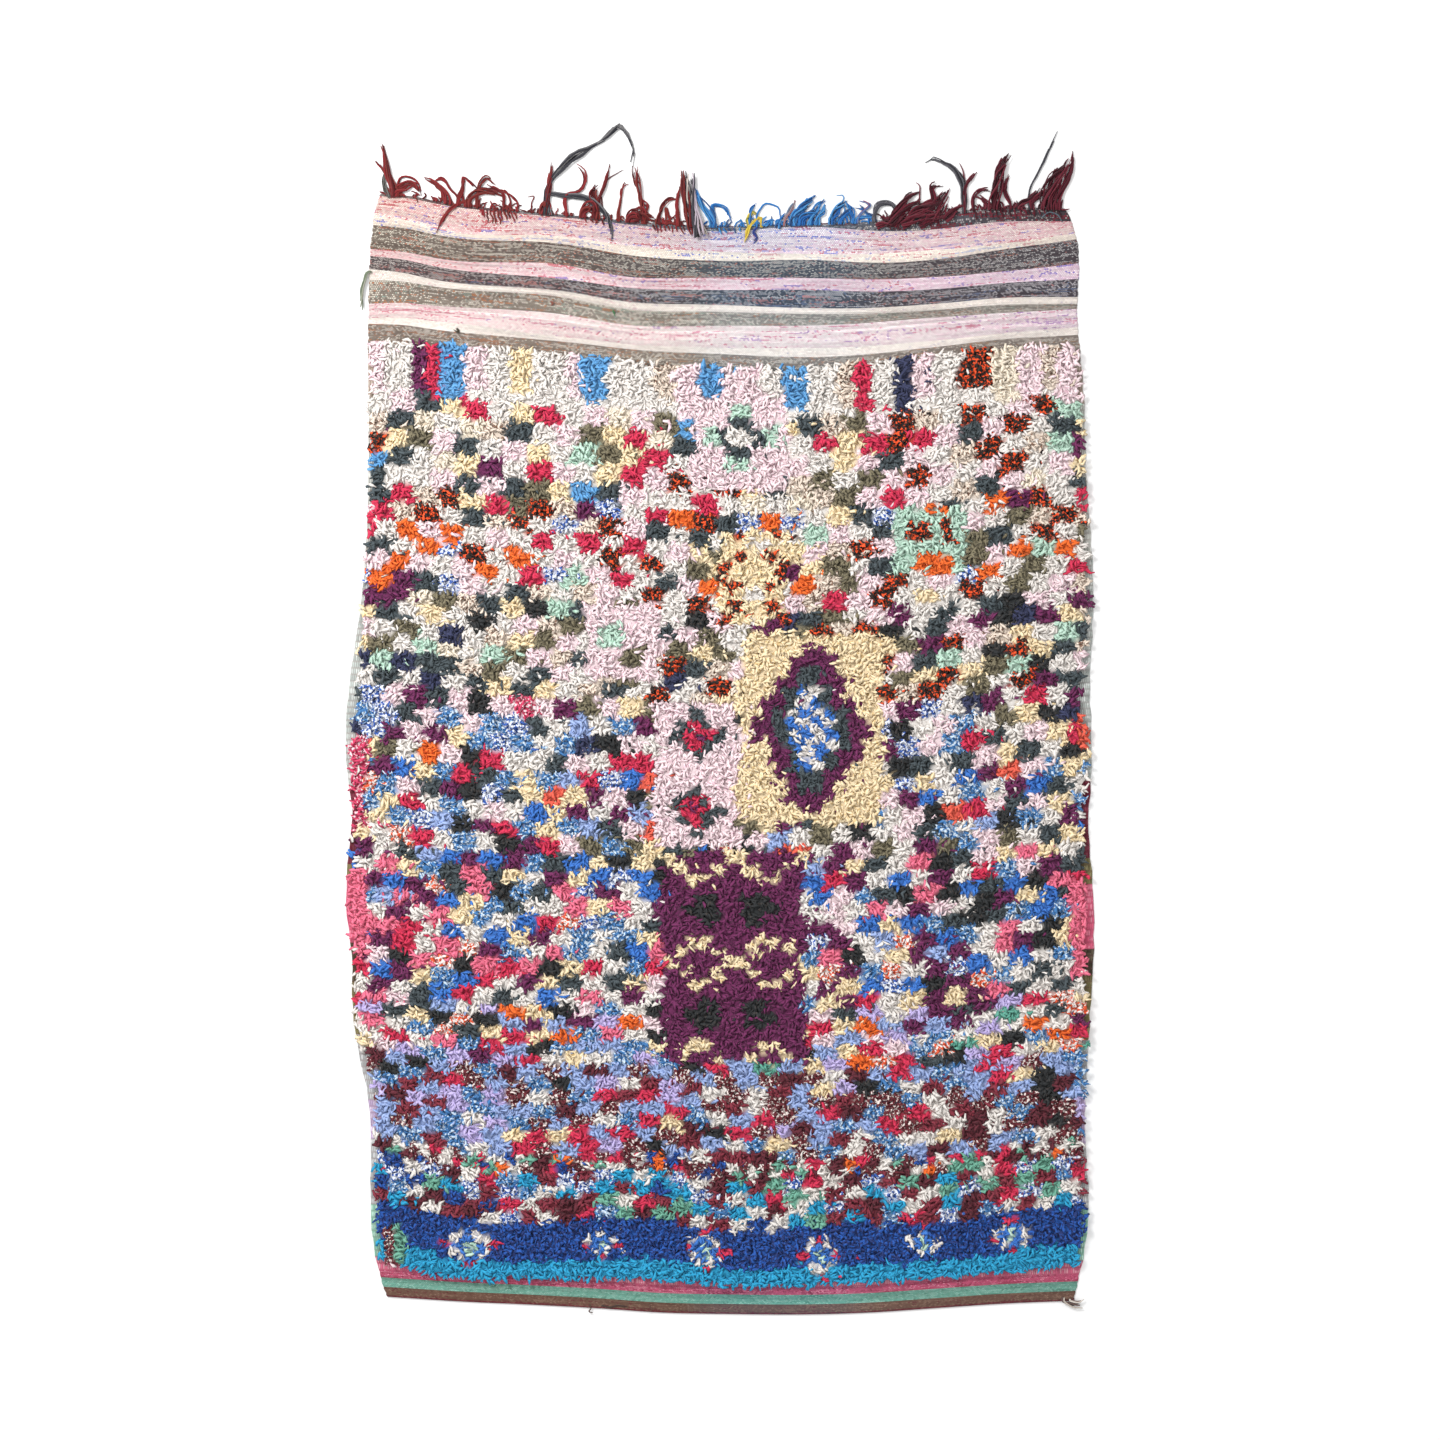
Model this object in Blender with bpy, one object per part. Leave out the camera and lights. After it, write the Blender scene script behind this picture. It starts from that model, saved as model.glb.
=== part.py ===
"""Rag-pile rug lying flat: a woven ground that shows at both ends and along the selvedges, a shaggy
pile of knotted rags, a fringe of warp ends along the top, and three loose yarn tails.

The scene is in metres, +Z up, with z = 0 the floor and +Y towards the fringed end.
The tables and sizes below are in millimetres, measured from the middle of the rug.
"""

import math
import random

import bmesh
import bpy
import numpy as np

MM = 0.001
GAP = 0.3

# The cloth: its thickness, its rolled hem, and how far its bare striped end cockles.
CLOTH_THICK = 3.0
HEM_RISE = 1.2
HEM_ROWS = (0.0, 3.0, 9.0, 13.0)
COCKLE = 1.0
COCKLE_WAVES = (430.0, 170.0)
CLOTH_LENGTH = 2400.0
STRIPED_END = 0.87
CLOTH_COLUMNS = 36
COVERED_ROWS = 20
STRIPED_ROWS = 9

# The pile: its depth over the cloth, and its cells, each about one check of 45 by 45 mm.
PILE_DEPTH = 16.0
PILE_LUMP = 6.0
PILE_JITTER = 6.0
RIM_DEPTH = 5.5
PILE_COLUMNS = 34
PILE_ROWS = 46

# Locks of rag at the pile's rim: the shortest and longest reach along the sides and at the ends,
# how far a tip leans along the rim, and how high it lies over the cloth.
SIDE_LOCKS = (5.0, 15.0)
END_LOCKS = (10.0, 32.0)
LOCK_LEAN = 13.0
LOCK_TIP_HEIGHT = 2.0
PILE_SEED = 7

# The fringe: a narrow heading beside the cloth's edge carries every strand's root. A strand narrows
# and thins towards its tip by these shares, its length is at least this share of its bunch's reach,
# and it spreads by this many degrees to either side of the bunch's lean.
HEADING_DEPTH = 7.0
STRAND_THICK = 3.0
TIP_TAPER = 0.55
TIP_THINNING = 0.28
STRAND_STEPS = 4
TIE_STEPS = 12
LEAST_WALL = 1.0
SHORTEST = 0.8
SPREAD = 1.5
STRAND_SEED = 5

# The selvedges, and how far the pile's rim lies inside each.
SELVEDGES = (
    # along, left, right, left inset, right inset
    (-1290, -725, 775, 6, 8),
    (-1230, -745, 785, 10, 8),
    (-1140, -765, 805, 12, 10),
    (-1030, -770, 810, 14, 12),
    (-880, -770, 800, 14, 6),
    (-790, -780, 805, 20, 6),
    (-690, -805, 810, 8, 8),
    (-525, -810, 820, 6, 18),
    (-370, -825, 820, 10, 20),
    (-260, -815, 810, 8, 14),
    (-160, -810, 810, 6, 8),
    (-85, -825, 820, 10, 10),
    (45, -820, 810, 20, 20),
    (135, -810, 815, 20, 16),
    (265, -790, 820, 8, 10),
    (400, -780, 815, 6, 12),
    (530, -775, 805, 6, 6),
    (705, -775, 800, 6, 8),
    (880, -775, 785, 6, 8),
    (1090, -765, 775, 6, 8),
    (1135, -758, 755, 6, 8),
    (1160, -748, 735, 6, 8),
)

# The two ends, which sag in the middle, and the pile's rims there. Share runs from left to right.
ENDS = (
    # share, hem, pile's lower rim, pile's upper rim, fringed edge
    (0.00, -1265, -1180, 835, 1160),
    (0.05, -1270, -1205, 835, 1155),
    (0.10, -1275, -1222, 830, 1142),
    (0.20, -1282, -1225, 820, 1125),
    (0.30, -1290, -1225, 804, 1112),
    (0.40, -1300, -1225, 787, 1097),
    (0.50, -1303, -1240, 778, 1090),
    (0.60, -1304, -1242, 778, 1094),
    (0.70, -1300, -1233, 790, 1100),
    (0.80, -1290, -1222, 808, 1114),
    (0.90, -1280, -1210, 824, 1130),
    (1.00, -1274, -1190, 825, 1128),
)

# Where the fringe changes colour, as shares of the fringed edge.
RUST_SPAN = (0.002, 0.466)
BLUE_SPAN = (0.466, 0.724)
WINE_SPAN = (0.724, 0.996)

# Bunches of warp ends, from left to right. Lean is in degrees towards +X, and bow is how far the
# middle of a strand stands aside of a straight line.
RUST_BUNCHES = (
    # first root, last root, strands, reach, lean, bow, width
    (-740, -726, 2, 96, -10, 2, 6),
    (-706, -652, 5, 33, 14, 4, 5),
    (-632, -566, 5, 42, 0, -4, 5),
    (-546, -444, 9, 46, -6, 4, 5),
    (-428, -412, 2, 22, 0, 2, 4),
    (-372, -372, 1, 40, 4, 2, 6),
    (-340, -212, 7, 88, 4, 6, 6),
    (-182, -166, 2, 98, -3, 4, 7),
    (-144, -106, 4, 60, 8, 4, 5),
    (-82, -58, 3, 118, -2, 3, 6),
)
BLUE_BUNCHES = (
    (-34, 28, 6, 62, -8, 5, 5),
    (50, 86, 3, 42, 6, 3, 4),
    (104, 236, 11, 56, 18, 4, 5),
    (256, 300, 4, 48, 14, 4, 5),
    (318, 334, 2, 34, 4, 2, 4),
)
WINE_BUNCHES = (
    (362, 494, 11, 60, 14, 5, 5),
    (552, 552, 1, 82, 8, 2, 5),
    (574, 628, 5, 114, 8, 3, 7),
    (656, 672, 2, 36, 12, 2, 5),
    (712, 742, 4, 96, 13, 3, 6),
)

# Flat ties and lone ends that run further out than the bunches: (across, along) from the root.
RUST_TIE = ((-396, 1122), (-390, 1155), (-345, 1228), (-284, 1266), (-226, 1308), (-205, 1272), (-194, 1226))
WINE_END = ((529, 1130), (528, 1170), (516, 1200), (488, 1226), (456, 1240))
LONG_END = ((688, 1140), (700, 1186), (722, 1240), (744, 1297))
TIE_WIDTH = 8.0
WINE_END_WIDTH = 5.0
LONG_END_WIDTH = 4.0

# Loose yarn at the left selvedge and two frayed ends below the hem's right corner. Each starts
# square to the cloth's edge, and its points are counted from there: (out or across, along).
SELVEDGE_ROOT = 989.0
SELVEDGE_TAIL = ((0, 0), (-7, 0), (-16, -22), (-20, -54), (-26, -86))
CORNER_TAILS = (
    # root across, then its points
    (754, ((0, 0), (0, -6), (10, -13), (24, -18), (40, -18))),
    (766, ((0, 0), (0, -4), (9, -7), (20, -8), (33, -4))),
)
TAIL_WIDTH = 4.0

# Each cloth or yarn: its colour and its roughness.
FINISHES = {
    "flat_weave": ((0.62, 0.51, 0.48), 0.95),
    "rag_cotton": ((0.46, 0.30, 0.36), 0.92),
    "rust_warp": ((0.30, 0.04, 0.035), 0.9),
    "blue_warp": ((0.06, 0.20, 0.45), 0.9),
    "wine_warp": ((0.15, 0.03, 0.04), 0.9),
}


def clear_scene():
    for obj in list(bpy.data.objects):
        bpy.data.objects.remove(obj, do_unlink=True)


def finish(name):
    """The named cloth or yarn as a Principled material, made once."""
    if name in bpy.data.materials:
        return bpy.data.materials[name]
    colour, roughness = FINISHES[name]
    material = bpy.data.materials.new(name)
    material.use_nodes = True
    shader = material.node_tree.nodes["Principled BSDF"]
    shader.inputs["Base Color"].default_value = (*colour, 1.0)
    shader.inputs["Roughness"].default_value = roughness
    shader.inputs["Metallic"].default_value = 0.0
    return material


def add_object(name, mesh_data, finish_name, parent):
    """Turns the mesh's faces outward and makes it an object of the rug."""
    bmesh.ops.recalc_face_normals(mesh_data, faces=mesh_data.faces)
    mesh = bpy.data.meshes.new(name)
    mesh_data.to_mesh(mesh)
    mesh_data.free()
    mesh.materials.append(finish(finish_name))
    obj = bpy.data.objects.new(name, mesh)
    bpy.context.scene.collection.objects.link(obj)
    obj.parent = parent
    return obj


def smooth_through(at, keys, values):
    """A smooth curve through the values: cubic between keys, with each key's slope from its neighbours."""
    at = np.clip(at, keys[0], keys[-1])
    slopes = np.gradient(values, keys)
    i = np.clip(np.searchsorted(keys, at) - 1, 0, len(keys) - 2)
    width = keys[i + 1] - keys[i]
    u = (at - keys[i]) / width
    start, stop = values[i], values[i + 1]
    rise, fall = slopes[i] * width, slopes[i + 1] * width
    return (start * (2 * u**3 - 3 * u**2 + 1) + rise * (u**3 - 2 * u**2 + u)
            + stop * (3 * u**2 - 2 * u**3) + fall * (u**3 - u**2))


def from_table(table, column, at):
    """A column of a table, read smoothly at some value of its first column."""
    rows = np.array(table, float)
    return smooth_through(at, rows[:, 0], rows[:, column])


def on_cloth(share, rise):
    """Across and along of a place on the cloth: share from left to right, rise from hem to fringe."""
    hem, fringed = from_table(ENDS, 1, share), from_table(ENDS, 4, share)
    along = hem + (fringed - hem) * rise
    left, right = from_table(SELVEDGES, 1, along), from_table(SELVEDGES, 2, along)
    return left + (right - left) * share, along


def on_pile(share, rise):
    """The same for the pile, between its own rims."""
    low, high = from_table(ENDS, 2, share), from_table(ENDS, 3, share)
    along = low + (high - low) * rise
    left = from_table(SELVEDGES, 1, along) + from_table(SELVEDGES, 3, along)
    right = from_table(SELVEDGES, 2, along) - from_table(SELVEDGES, 4, along)
    return left + (right - left) * share, along


def cloth_rises():
    """Where the cloth's rows lie from hem to fringe: close over the rolled hem and the striped end."""
    hem = np.array(HEM_ROWS) / CLOTH_LENGTH
    covered = np.linspace(hem[-1], STRIPED_END, COVERED_ROWS + 1)[1:]
    striped = np.linspace(STRIPED_END, 1, STRIPED_ROWS + 1)[1:]
    return np.concatenate([hem, covered, striped])


def cloth_grid():
    """Across and along of the cloth's grid, one row of each array for each row of the cloth."""
    share, rise = np.meshgrid(np.linspace(0, 1, CLOTH_COLUMNS + 1), cloth_rises())
    return on_cloth(share, rise)


def closed_sheet(across, along, height, floor, lock_tip=None):
    """A closed solid under a grid of top points, with a flat underside at height floor.

    Where lock_tip is given, each wall round the rim is drawn out to the point that it returns.
    """
    mesh = bmesh.new()
    top = [[mesh.verts.new((x * MM, y * MM, z * MM)) for x, y, z in zip(*row)]
           for row in zip(across, along, height)]
    for lower, upper in zip(top, top[1:]):
        for i in range(len(lower) - 1):
            mesh.faces.new((lower[i], lower[i + 1], upper[i + 1], upper[i]))
    right = [row[-1] for row in top[1:]]
    left = [row[0] for row in top[-2:0:-1]]
    rim = top[0] + right + top[-1][-2::-1] + left
    feet = [mesh.verts.new((v.co.x, v.co.y, floor * MM)) for v in rim]
    for i, edge in enumerate(rim):
        after = (i + 1) % len(rim)
        wall = (feet[i], feet[after], rim[after], edge)
        if lock_tip is None:
            mesh.faces.new(wall)
            continue
        tip = mesh.verts.new(lock_tip(wall))
        for a, b in zip(wall, wall[1:] + wall[:1]):
            mesh.faces.new((a, b, tip))
    mesh.faces.new(feet[::-1])
    return mesh


def woven_ground(parent):
    """The flat-woven cloth from hem to fringe in one piece, its hem rolled and its striped end cockled."""
    across, along = cloth_grid()
    rise = cloth_rises()[:, None]
    bare = np.clip((rise - STRIPED_END) / (1 - STRIPED_END), 0, 1) ** 0.5
    wave_across, wave_along = (2 * math.pi / wave for wave in COCKLE_WAVES)
    height = CLOTH_THICK + COCKLE * bare * np.sin(across * wave_across) * np.cos(along * wave_along)
    height[1:len(HEM_ROWS) - 1] += HEM_RISE
    return add_object("woven_ground", closed_sheet(across, along, height, 0.0), "flat_weave", parent)


def rag_pile(parent):
    """The knotted rags as one lumpy slab over the cloth, with locks round its rim."""
    chance = np.random.default_rng(PILE_SEED)
    share, rise = np.meshgrid(np.linspace(0, 1, PILE_COLUMNS + 1), np.linspace(0, 1, PILE_ROWS + 1))
    across, along = on_pile(share, rise)
    floor = CLOTH_THICK + GAP
    inner = (slice(1, -1), slice(1, -1))
    height = floor + RIM_DEPTH + chance.uniform(-1, 1, share.shape)
    height[inner] = floor + PILE_DEPTH + chance.uniform(-PILE_LUMP, PILE_LUMP, share[inner].shape)
    across[inner] += chance.uniform(-PILE_JITTER, PILE_JITTER, share[inner].shape)
    along[inner] += chance.uniform(-PILE_JITTER, PILE_JITTER, share[inner].shape)

    def lock_tip(wall):
        """A point outside the middle of a wall, its reach and its lean left to chance."""
        run = (wall[1].co - wall[0].co).normalized()
        outward = run.cross((0, 0, 1))
        reach = chance.uniform(*(SIDE_LOCKS if abs(outward.x) > abs(outward.y) else END_LOCKS))
        lean = chance.uniform(-LOCK_LEAN, LOCK_LEAN)
        tip = (wall[0].co + wall[1].co) / 2 + (outward * reach + run * lean) * MM
        tip.z = (floor + LOCK_TIP_HEIGHT) * MM
        return tip

    mesh = closed_sheet(across, along, height, floor, lock_tip)
    return add_object("rag_pile", mesh, "rag_cotton", parent)


def fringed_edge():
    """Across and along of the cloth's fringed edge, as the cloth's own points."""
    across, along = cloth_grid()
    return across[-1], along[-1]


def along_edge(across):
    return np.interp(across, *fringed_edge())


def bunch_strands(bunches, chance):
    """(root, points, width) of every strand: out from the heading at its lean, bowed as half a sine wave."""
    for first, last, count, reach, lean, bow, width in bunches:
        for root in np.linspace(first, last, count):
            length = reach * chance.uniform(SHORTEST, 1)
            angle = math.radians(lean + chance.uniform(-SPREAD, SPREAD))
            forward = np.array([math.sin(angle), math.cos(angle)])
            aside = np.array([forward[1], -forward[0]])
            start = np.array([root, along_edge(root) + GAP + HEADING_DEPTH])
            points = [start + forward * length * share + aside * bow * math.sin(math.pi * share)
                      for share in np.linspace(0, 1, STRAND_STEPS + 1)[1:]]
            yield root, points, width


def tie_strand(points, width):
    """The same for a tie or lone end through hand-placed points, the first of which gives its root."""
    root = points[0][0]
    start = (root, along_edge(root) + GAP + HEADING_DEPTH)
    return root, even_steps((start, *points[1:]), TIE_STEPS), width


def even_steps(points, steps):
    """Evenly spaced places on the smooth curve through hand-placed points, after the first."""
    points = np.array(points, float)
    run = np.concatenate([[0], np.cumsum(np.linalg.norm(np.diff(points, axis=0), axis=1))])
    at = np.linspace(0, run[-1], steps + 1)[1:]
    across, along = (smooth_through(at, run, values) for values in points.T)
    return list(np.stack([across, along], axis=1))


def carry_strand(mesh, ring, points, width):
    """Carries a four-sided section from ring along the points, its underside level on the floor."""
    ends = np.array([v.co.to_2d() for v in ring[:2]]) / MM
    track = [ends.mean(axis=0), *points]
    for i, point in enumerate(points, start=1):
        ahead = track[min(i + 1, len(track) - 1)] - track[i - 1]
        side = np.array([ahead[1], -ahead[0]]) / np.linalg.norm(ahead)
        outness = (i / len(points)) ** 2
        side *= (1 - TIP_TAPER * outness) * width / 2
        left, right = point - side, point + side
        top = STRAND_THICK * (1 - TIP_THINNING * outness)
        onward = [mesh.verts.new((x * MM, y * MM, z * MM))
                  for (x, y), z in ((left, 0), (right, 0), (right, top), (left, top))]
        for a in range(4):
            b = (a + 1) % 4
            mesh.faces.new((ring[a], ring[b], onward[b], onward[a]))
        ring = onward
    mesh.faces.new(ring)


def fringe(name, finish_name, span, bunches, ties, parent):
    """A narrow strip along part of the fringed edge, with its strands grown out of its front walls."""
    chance = random.Random(STRAND_SEED)
    strands = sorted([*bunch_strands(bunches, chance), *ties], key=lambda strand: strand[0])
    left, right = (on_cloth(share, 1.0)[0] for share in span)
    rooted = {root - width / 2: (points, width) for root, points, width in strands}
    marks = {left + GAP / 2, right - GAP / 2, *rooted, *(root + width / 2 for root, _, width in strands)}
    for x in fringed_edge()[0]:
        clear = all(abs(x - root) > width / 2 + LEAST_WALL for root, _, width in strands)
        if clear and left + LEAST_WALL < x < right - LEAST_WALL:
            marks.add(x)
    marks = sorted(marks)

    mesh = bmesh.new()

    def line(setback, z):
        return [mesh.verts.new((x * MM, (along_edge(x) + setback) * MM, z * MM)) for x in marks]

    back_low, back_high = line(GAP, 0), line(GAP, STRAND_THICK)
    front_low, front_high = line(GAP + HEADING_DEPTH, 0), line(GAP + HEADING_DEPTH, STRAND_THICK)
    for i in range(len(marks) - 1):
        j = i + 1
        mesh.faces.new((back_high[i], front_high[i], front_high[j], back_high[j]))
        mesh.faces.new((back_low[i], back_low[j], front_low[j], front_low[i]))
        mesh.faces.new((back_low[i], back_high[i], back_high[j], back_low[j]))
        wall = [front_low[i], front_low[j], front_high[j], front_high[i]]
        if marks[i] in rooted:
            carry_strand(mesh, wall, *rooted[marks[i]])
        else:
            mesh.faces.new(wall)
    for end in (0, -1):
        mesh.faces.new((back_low[end], front_low[end], front_high[end], back_high[end]))
    return add_object(name, mesh, finish_name, parent)


def loose_tail(name, finish_name, root, offsets, parent):
    """A lone yarn end that starts square to the cloth's edge at root and lies on the floor."""
    points = np.array(root) + np.array(offsets, float)
    ahead = points[1] - points[0]
    side = np.array([ahead[1], -ahead[0]]) / np.linalg.norm(ahead) * TAIL_WIDTH / 2
    left, right = points[0] - side, points[0] + side
    mesh = bmesh.new()
    ring = [mesh.verts.new((x * MM, y * MM, z * MM))
            for (x, y), z in ((left, 0), (right, 0), (right, STRAND_THICK), (left, STRAND_THICK))]
    mesh.faces.new(ring)
    carry_strand(mesh, ring, even_steps(points, TIE_STEPS // 2), TAIL_WIDTH)
    return add_object(name, mesh, finish_name, parent)


def loose_tails(parent):
    across, along = cloth_grid()
    selvedge = np.interp(SELVEDGE_ROOT, along[:, 0], across[:, 0])
    loose_tail("selvedge_tail", "flat_weave", (selvedge - GAP, SELVEDGE_ROOT), SELVEDGE_TAIL, parent)
    for i, (root, offsets) in enumerate(CORNER_TAILS, start=1):
        hem = np.interp(root, across[0], along[0])
        loose_tail(f"corner_tail_{i}", "wine_warp", (root, hem - GAP), offsets, parent)


def centre_on_floor(rug):
    """Moves the rug so that the middle of its box lies over the origin."""
    corners = np.array([v.co for piece in rug.children for v in piece.data.vertices])
    middle = (corners.min(axis=0) + corners.max(axis=0)) / 2
    rug.location = (-middle[0], -middle[1], 0)


def main():
    clear_scene()
    rug = bpy.data.objects.new("rug", None)
    bpy.context.scene.collection.objects.link(rug)
    woven_ground(rug)
    rag_pile(rug)
    fringe("fringe_rust", "rust_warp", RUST_SPAN, RUST_BUNCHES, [tie_strand(RUST_TIE, TIE_WIDTH)], rug)
    fringe("fringe_blue", "blue_warp", BLUE_SPAN, BLUE_BUNCHES, [], rug)
    wine_ends = [tie_strand(WINE_END, WINE_END_WIDTH), tie_strand(LONG_END, LONG_END_WIDTH)]
    fringe("fringe_wine", "wine_warp", WINE_SPAN, WINE_BUNCHES, wine_ends, rug)
    loose_tails(rug)
    centre_on_floor(rug)


main()
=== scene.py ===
"""A boucherouite rug lying flat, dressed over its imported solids.

Everything is in metres in the frame of the solids: z = 0 the floor, +Y towards the fringed end.
The tables and sizes below are in millimetres.
"""

import math

import bpy
import numpy as np
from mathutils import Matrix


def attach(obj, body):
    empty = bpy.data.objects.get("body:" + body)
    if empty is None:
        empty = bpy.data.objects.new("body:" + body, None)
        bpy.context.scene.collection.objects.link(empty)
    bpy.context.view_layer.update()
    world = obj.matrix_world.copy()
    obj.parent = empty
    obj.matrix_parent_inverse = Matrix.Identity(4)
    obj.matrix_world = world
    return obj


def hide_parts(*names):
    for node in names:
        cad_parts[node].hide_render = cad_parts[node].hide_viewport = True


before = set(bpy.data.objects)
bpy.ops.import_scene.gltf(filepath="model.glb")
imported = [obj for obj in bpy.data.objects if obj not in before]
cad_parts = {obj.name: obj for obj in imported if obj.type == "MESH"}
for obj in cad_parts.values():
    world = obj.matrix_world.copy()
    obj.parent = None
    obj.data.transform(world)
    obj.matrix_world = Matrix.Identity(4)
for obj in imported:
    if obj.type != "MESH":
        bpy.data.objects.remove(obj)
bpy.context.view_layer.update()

MM = 0.001

# Where the middle of the rug's tables lies in the frame.
MIDDLE = np.array((3.2, -2.7))

# The picture: how much floor it takes in and about which middle, its lens, and the light.
PICTURE_SPAN = 3168.0
PICTURE_MIDDLE = (2.1, 0.6)
LENS = 85.0
SENSOR = 36.0
FLOOR_HALF = 9000.0
FLOOR_DROP = 0.3
FLOOR_GREY = 0.93
FILL = 0.88
KEY_WATTS = 190.0
KEY_SIZE = 1.6
KEY_PLACE = (-2.6, 2.4, 3.4)

# The cloth: its thickness and weave. The real weft rows lie about 1.6 mm apart, and are drawn
# half as coarse again so that they show in a picture of the whole rug. Each row of faces has two.
CLOTH_THICK = 3.0
STITCH = (4.8, 2.5)
ROWS_TO_A_FACE = 2
COVERED_ROWS = 70
CLOTH_COLUMNS = 104
CLOTH_SEED = 5

# How the cloth lies: the rounding of its selvedges as places inwards and shares of its thickness,
# the height and wavelengths of its cockles and ripples, its rolled hem, and its scalloped selvedges.
EDGE_ROUNDING = ((0.0, 0.0), (0.8, 0.66), (2.0, 0.92), (4.5, 1.0))
STRIPED_DEPTH = 330.0
COCKLE = 1.0
COCKLE_WAVES = (430.0, 170.0)
RIPPLE = 0.45
RIPPLE_WAVES = (83.0, 61.0)
HEM_RISE = 1.2
HEM_ROLL = 13.0
SCALLOP_REACH = 20.0
SCALLOP_DEPTHS = (0.9, 0.8)

# Shares of flecks, accents and bare warp, and how much each wanders along a row and between rows.
WOOL_DEPTH = 0.86
GROUND_FLECKS = (0.4, 0.05)
HEM_ACCENTS = 0.1
HEADING_BARE = 0.1
BARE_SHARE = (0.16, 0.6)
FLECK_WANDER = (0.10, 0.08)
ACCENT_WANDER = (0.6, 0.5)
TONE_WANDER = (0.06, 0.07)

# Where the cloth's top and underside begin in the map for baking, and how wide each is there.
TOP_MAP = (0.01, 0.77)
UNDER_MAP = (0.81, 0.18)

# The pile: the pitch of its knots across and along, how far they stray, and its packed feet.
KNOT_PITCH = (13.0, 13.5)
KNOT_STRAY = (1.8, 2.0)
RAGS_TO_A_KNOT = 3
FEET_RISE = (7.0, 11.0)
# How deep the feet lie, which paints them darker, as shade deep in the pile.
FEET_SHADE_LIE = 0.3
FEET_TONE = 0.4
PILE_PIECES = 6
PILE_LENGTH = 2020.0
PILE_SEED = 11

# A rag: its length, width and thickness, how high its crest and tip stand, and its foot as a share of
# its crest. It reaches behind its knot and ahead of it by shares of its length, and bends and rolls.
RAG_LENGTH = (14.0, 25.0)
RAG_WIDTH = (5.6, 9.4)
RAG_THICK = (0.9, 1.8)
RAG_CREST = (8.0, 12.5)
RAG_TIP = (7.0, 12.5)
RAG_FOOT = (0.55, 0.92)
RAG_REACH = (-0.45, 0.55)
RAG_STRAY = 3.4
RAG_BEND = 0.14
RAG_ROLL = (0.2, 0.17)
RAG_ROOT_WIDTH = 0.6
RAG_TIP_WIDTH = (0.12, 0.7)
RAG_OUTLINE = ((-1.0, -0.6), (1.0, -0.6), (0.15, 1.2))

# How far out of the pile its foot, crest and tip lie, for the shade painted between the rags.
RAG_LIES = (0.15, 0.7, 1.0)

# A check bulges in its middle and its rags point outwards. A few rags stray to another check.
CHECK_DOME = 7.0
OUTWARD_PULL = 0.75
STRAY_SHARE = 0.03

# The share of the map for baking that the rags take up, and how far the rags are faded.
STRIPS_SHARE = 0.88
WASHED = 0.03
SUN_GREY = "D8D4D0"

# Colours of the rags: the cloth, what is printed or worn on it, and the share that takes.
RAGS = {
    "off_white": ("E9E3DD", "D2C9C2", 0.25),
    "cream": ("EDE1CE", "D8C8B0", 0.25),
    "pale_pink": ("F3DCE0", "E0BCC8", 0.25),
    "straw": ("F4DFB8", "DEC08A", 0.25),
    "beige_print": ("E6D6C6", "80604E", 0.26),
    "mint": ("BCD9C8", "9CC2AC", 0.28),
    "sage": ("70AE98", "5A947E", 0.30),
    "teal": ("5FA794", "4A8F7E", 0.30),
    "khaki": ("7A725A", "565040", 0.35),
    "slate": ("444F54", "2F383C", 0.35),
    "black": ("202427", "3A3432", 0.25),
    "navy": ("2F3557", "232844", 0.30),
    "plum": ("6C1E54", "4E123C", 0.32),
    "maroon": ("5F1B2B", "481220", 0.30),
    "brick": ("862A3C", "641C2C", 0.30),
    "raspberry": ("D22A50", "AE1C44", 0.30),
    "hot_pink": ("EC7490", "D65A78", 0.30),
    "coral": ("E9614C", "CF4A38", 0.30),
    "orange": ("F06C22", "D65512", 0.30),
    "orange_print": ("F2521C", "221410", 0.62),
    "cobalt": ("3876CA", "2860B2", 0.30),
    "royal": ("1A55AC", "142F6E", 0.50),
    "sky": ("60A0D4", "4686BE", 0.30),
    "periwinkle": ("9CB1DF", "8098CC", 0.30),
    "lavender": ("C3B5E4", "AC9BD2", 0.30),
    "turquoise": ("20A1CE", "1789B6", 0.30),
    "blue_white_print": ("E2E7F2", "3058A8", 0.46),
    "blue_print": ("3C76B0", "C6D8E8", 0.38),
    "maroon_white_print": ("641A26", "E9DCD6", 0.34),
    "raspberry_print": ("CB3860", "F3CDD4", 0.34),
    "coral_white_print": ("F1E5E0", "E0562E", 0.48),
}
RAG_NUMBERS = {name: number for number, name in enumerate(RAGS)}

# Pale and strong rags take turns from check to check, and neighbours are seldom alike.
PALE_RAGS = ("off_white", "cream", "pale_pink", "straw", "beige_print", "mint", "blue_white_print",
             "coral_white_print", "lavender", "periwinkle")
TURN_TAKING = 3.2
LIKE_NEIGHBOUR = 0.12
CHECK_STRAY = (2.0, 1.8)
CHECKS_BEYOND = 40.0
BORDER_SWAY = (6.0, 5.0)
BORDER_WAVES = (37.0, 71.0)

# Weights and colours are given at the left, in the middle and at the right: the shares across.
ACROSS = (0, 0.5, 1)

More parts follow.
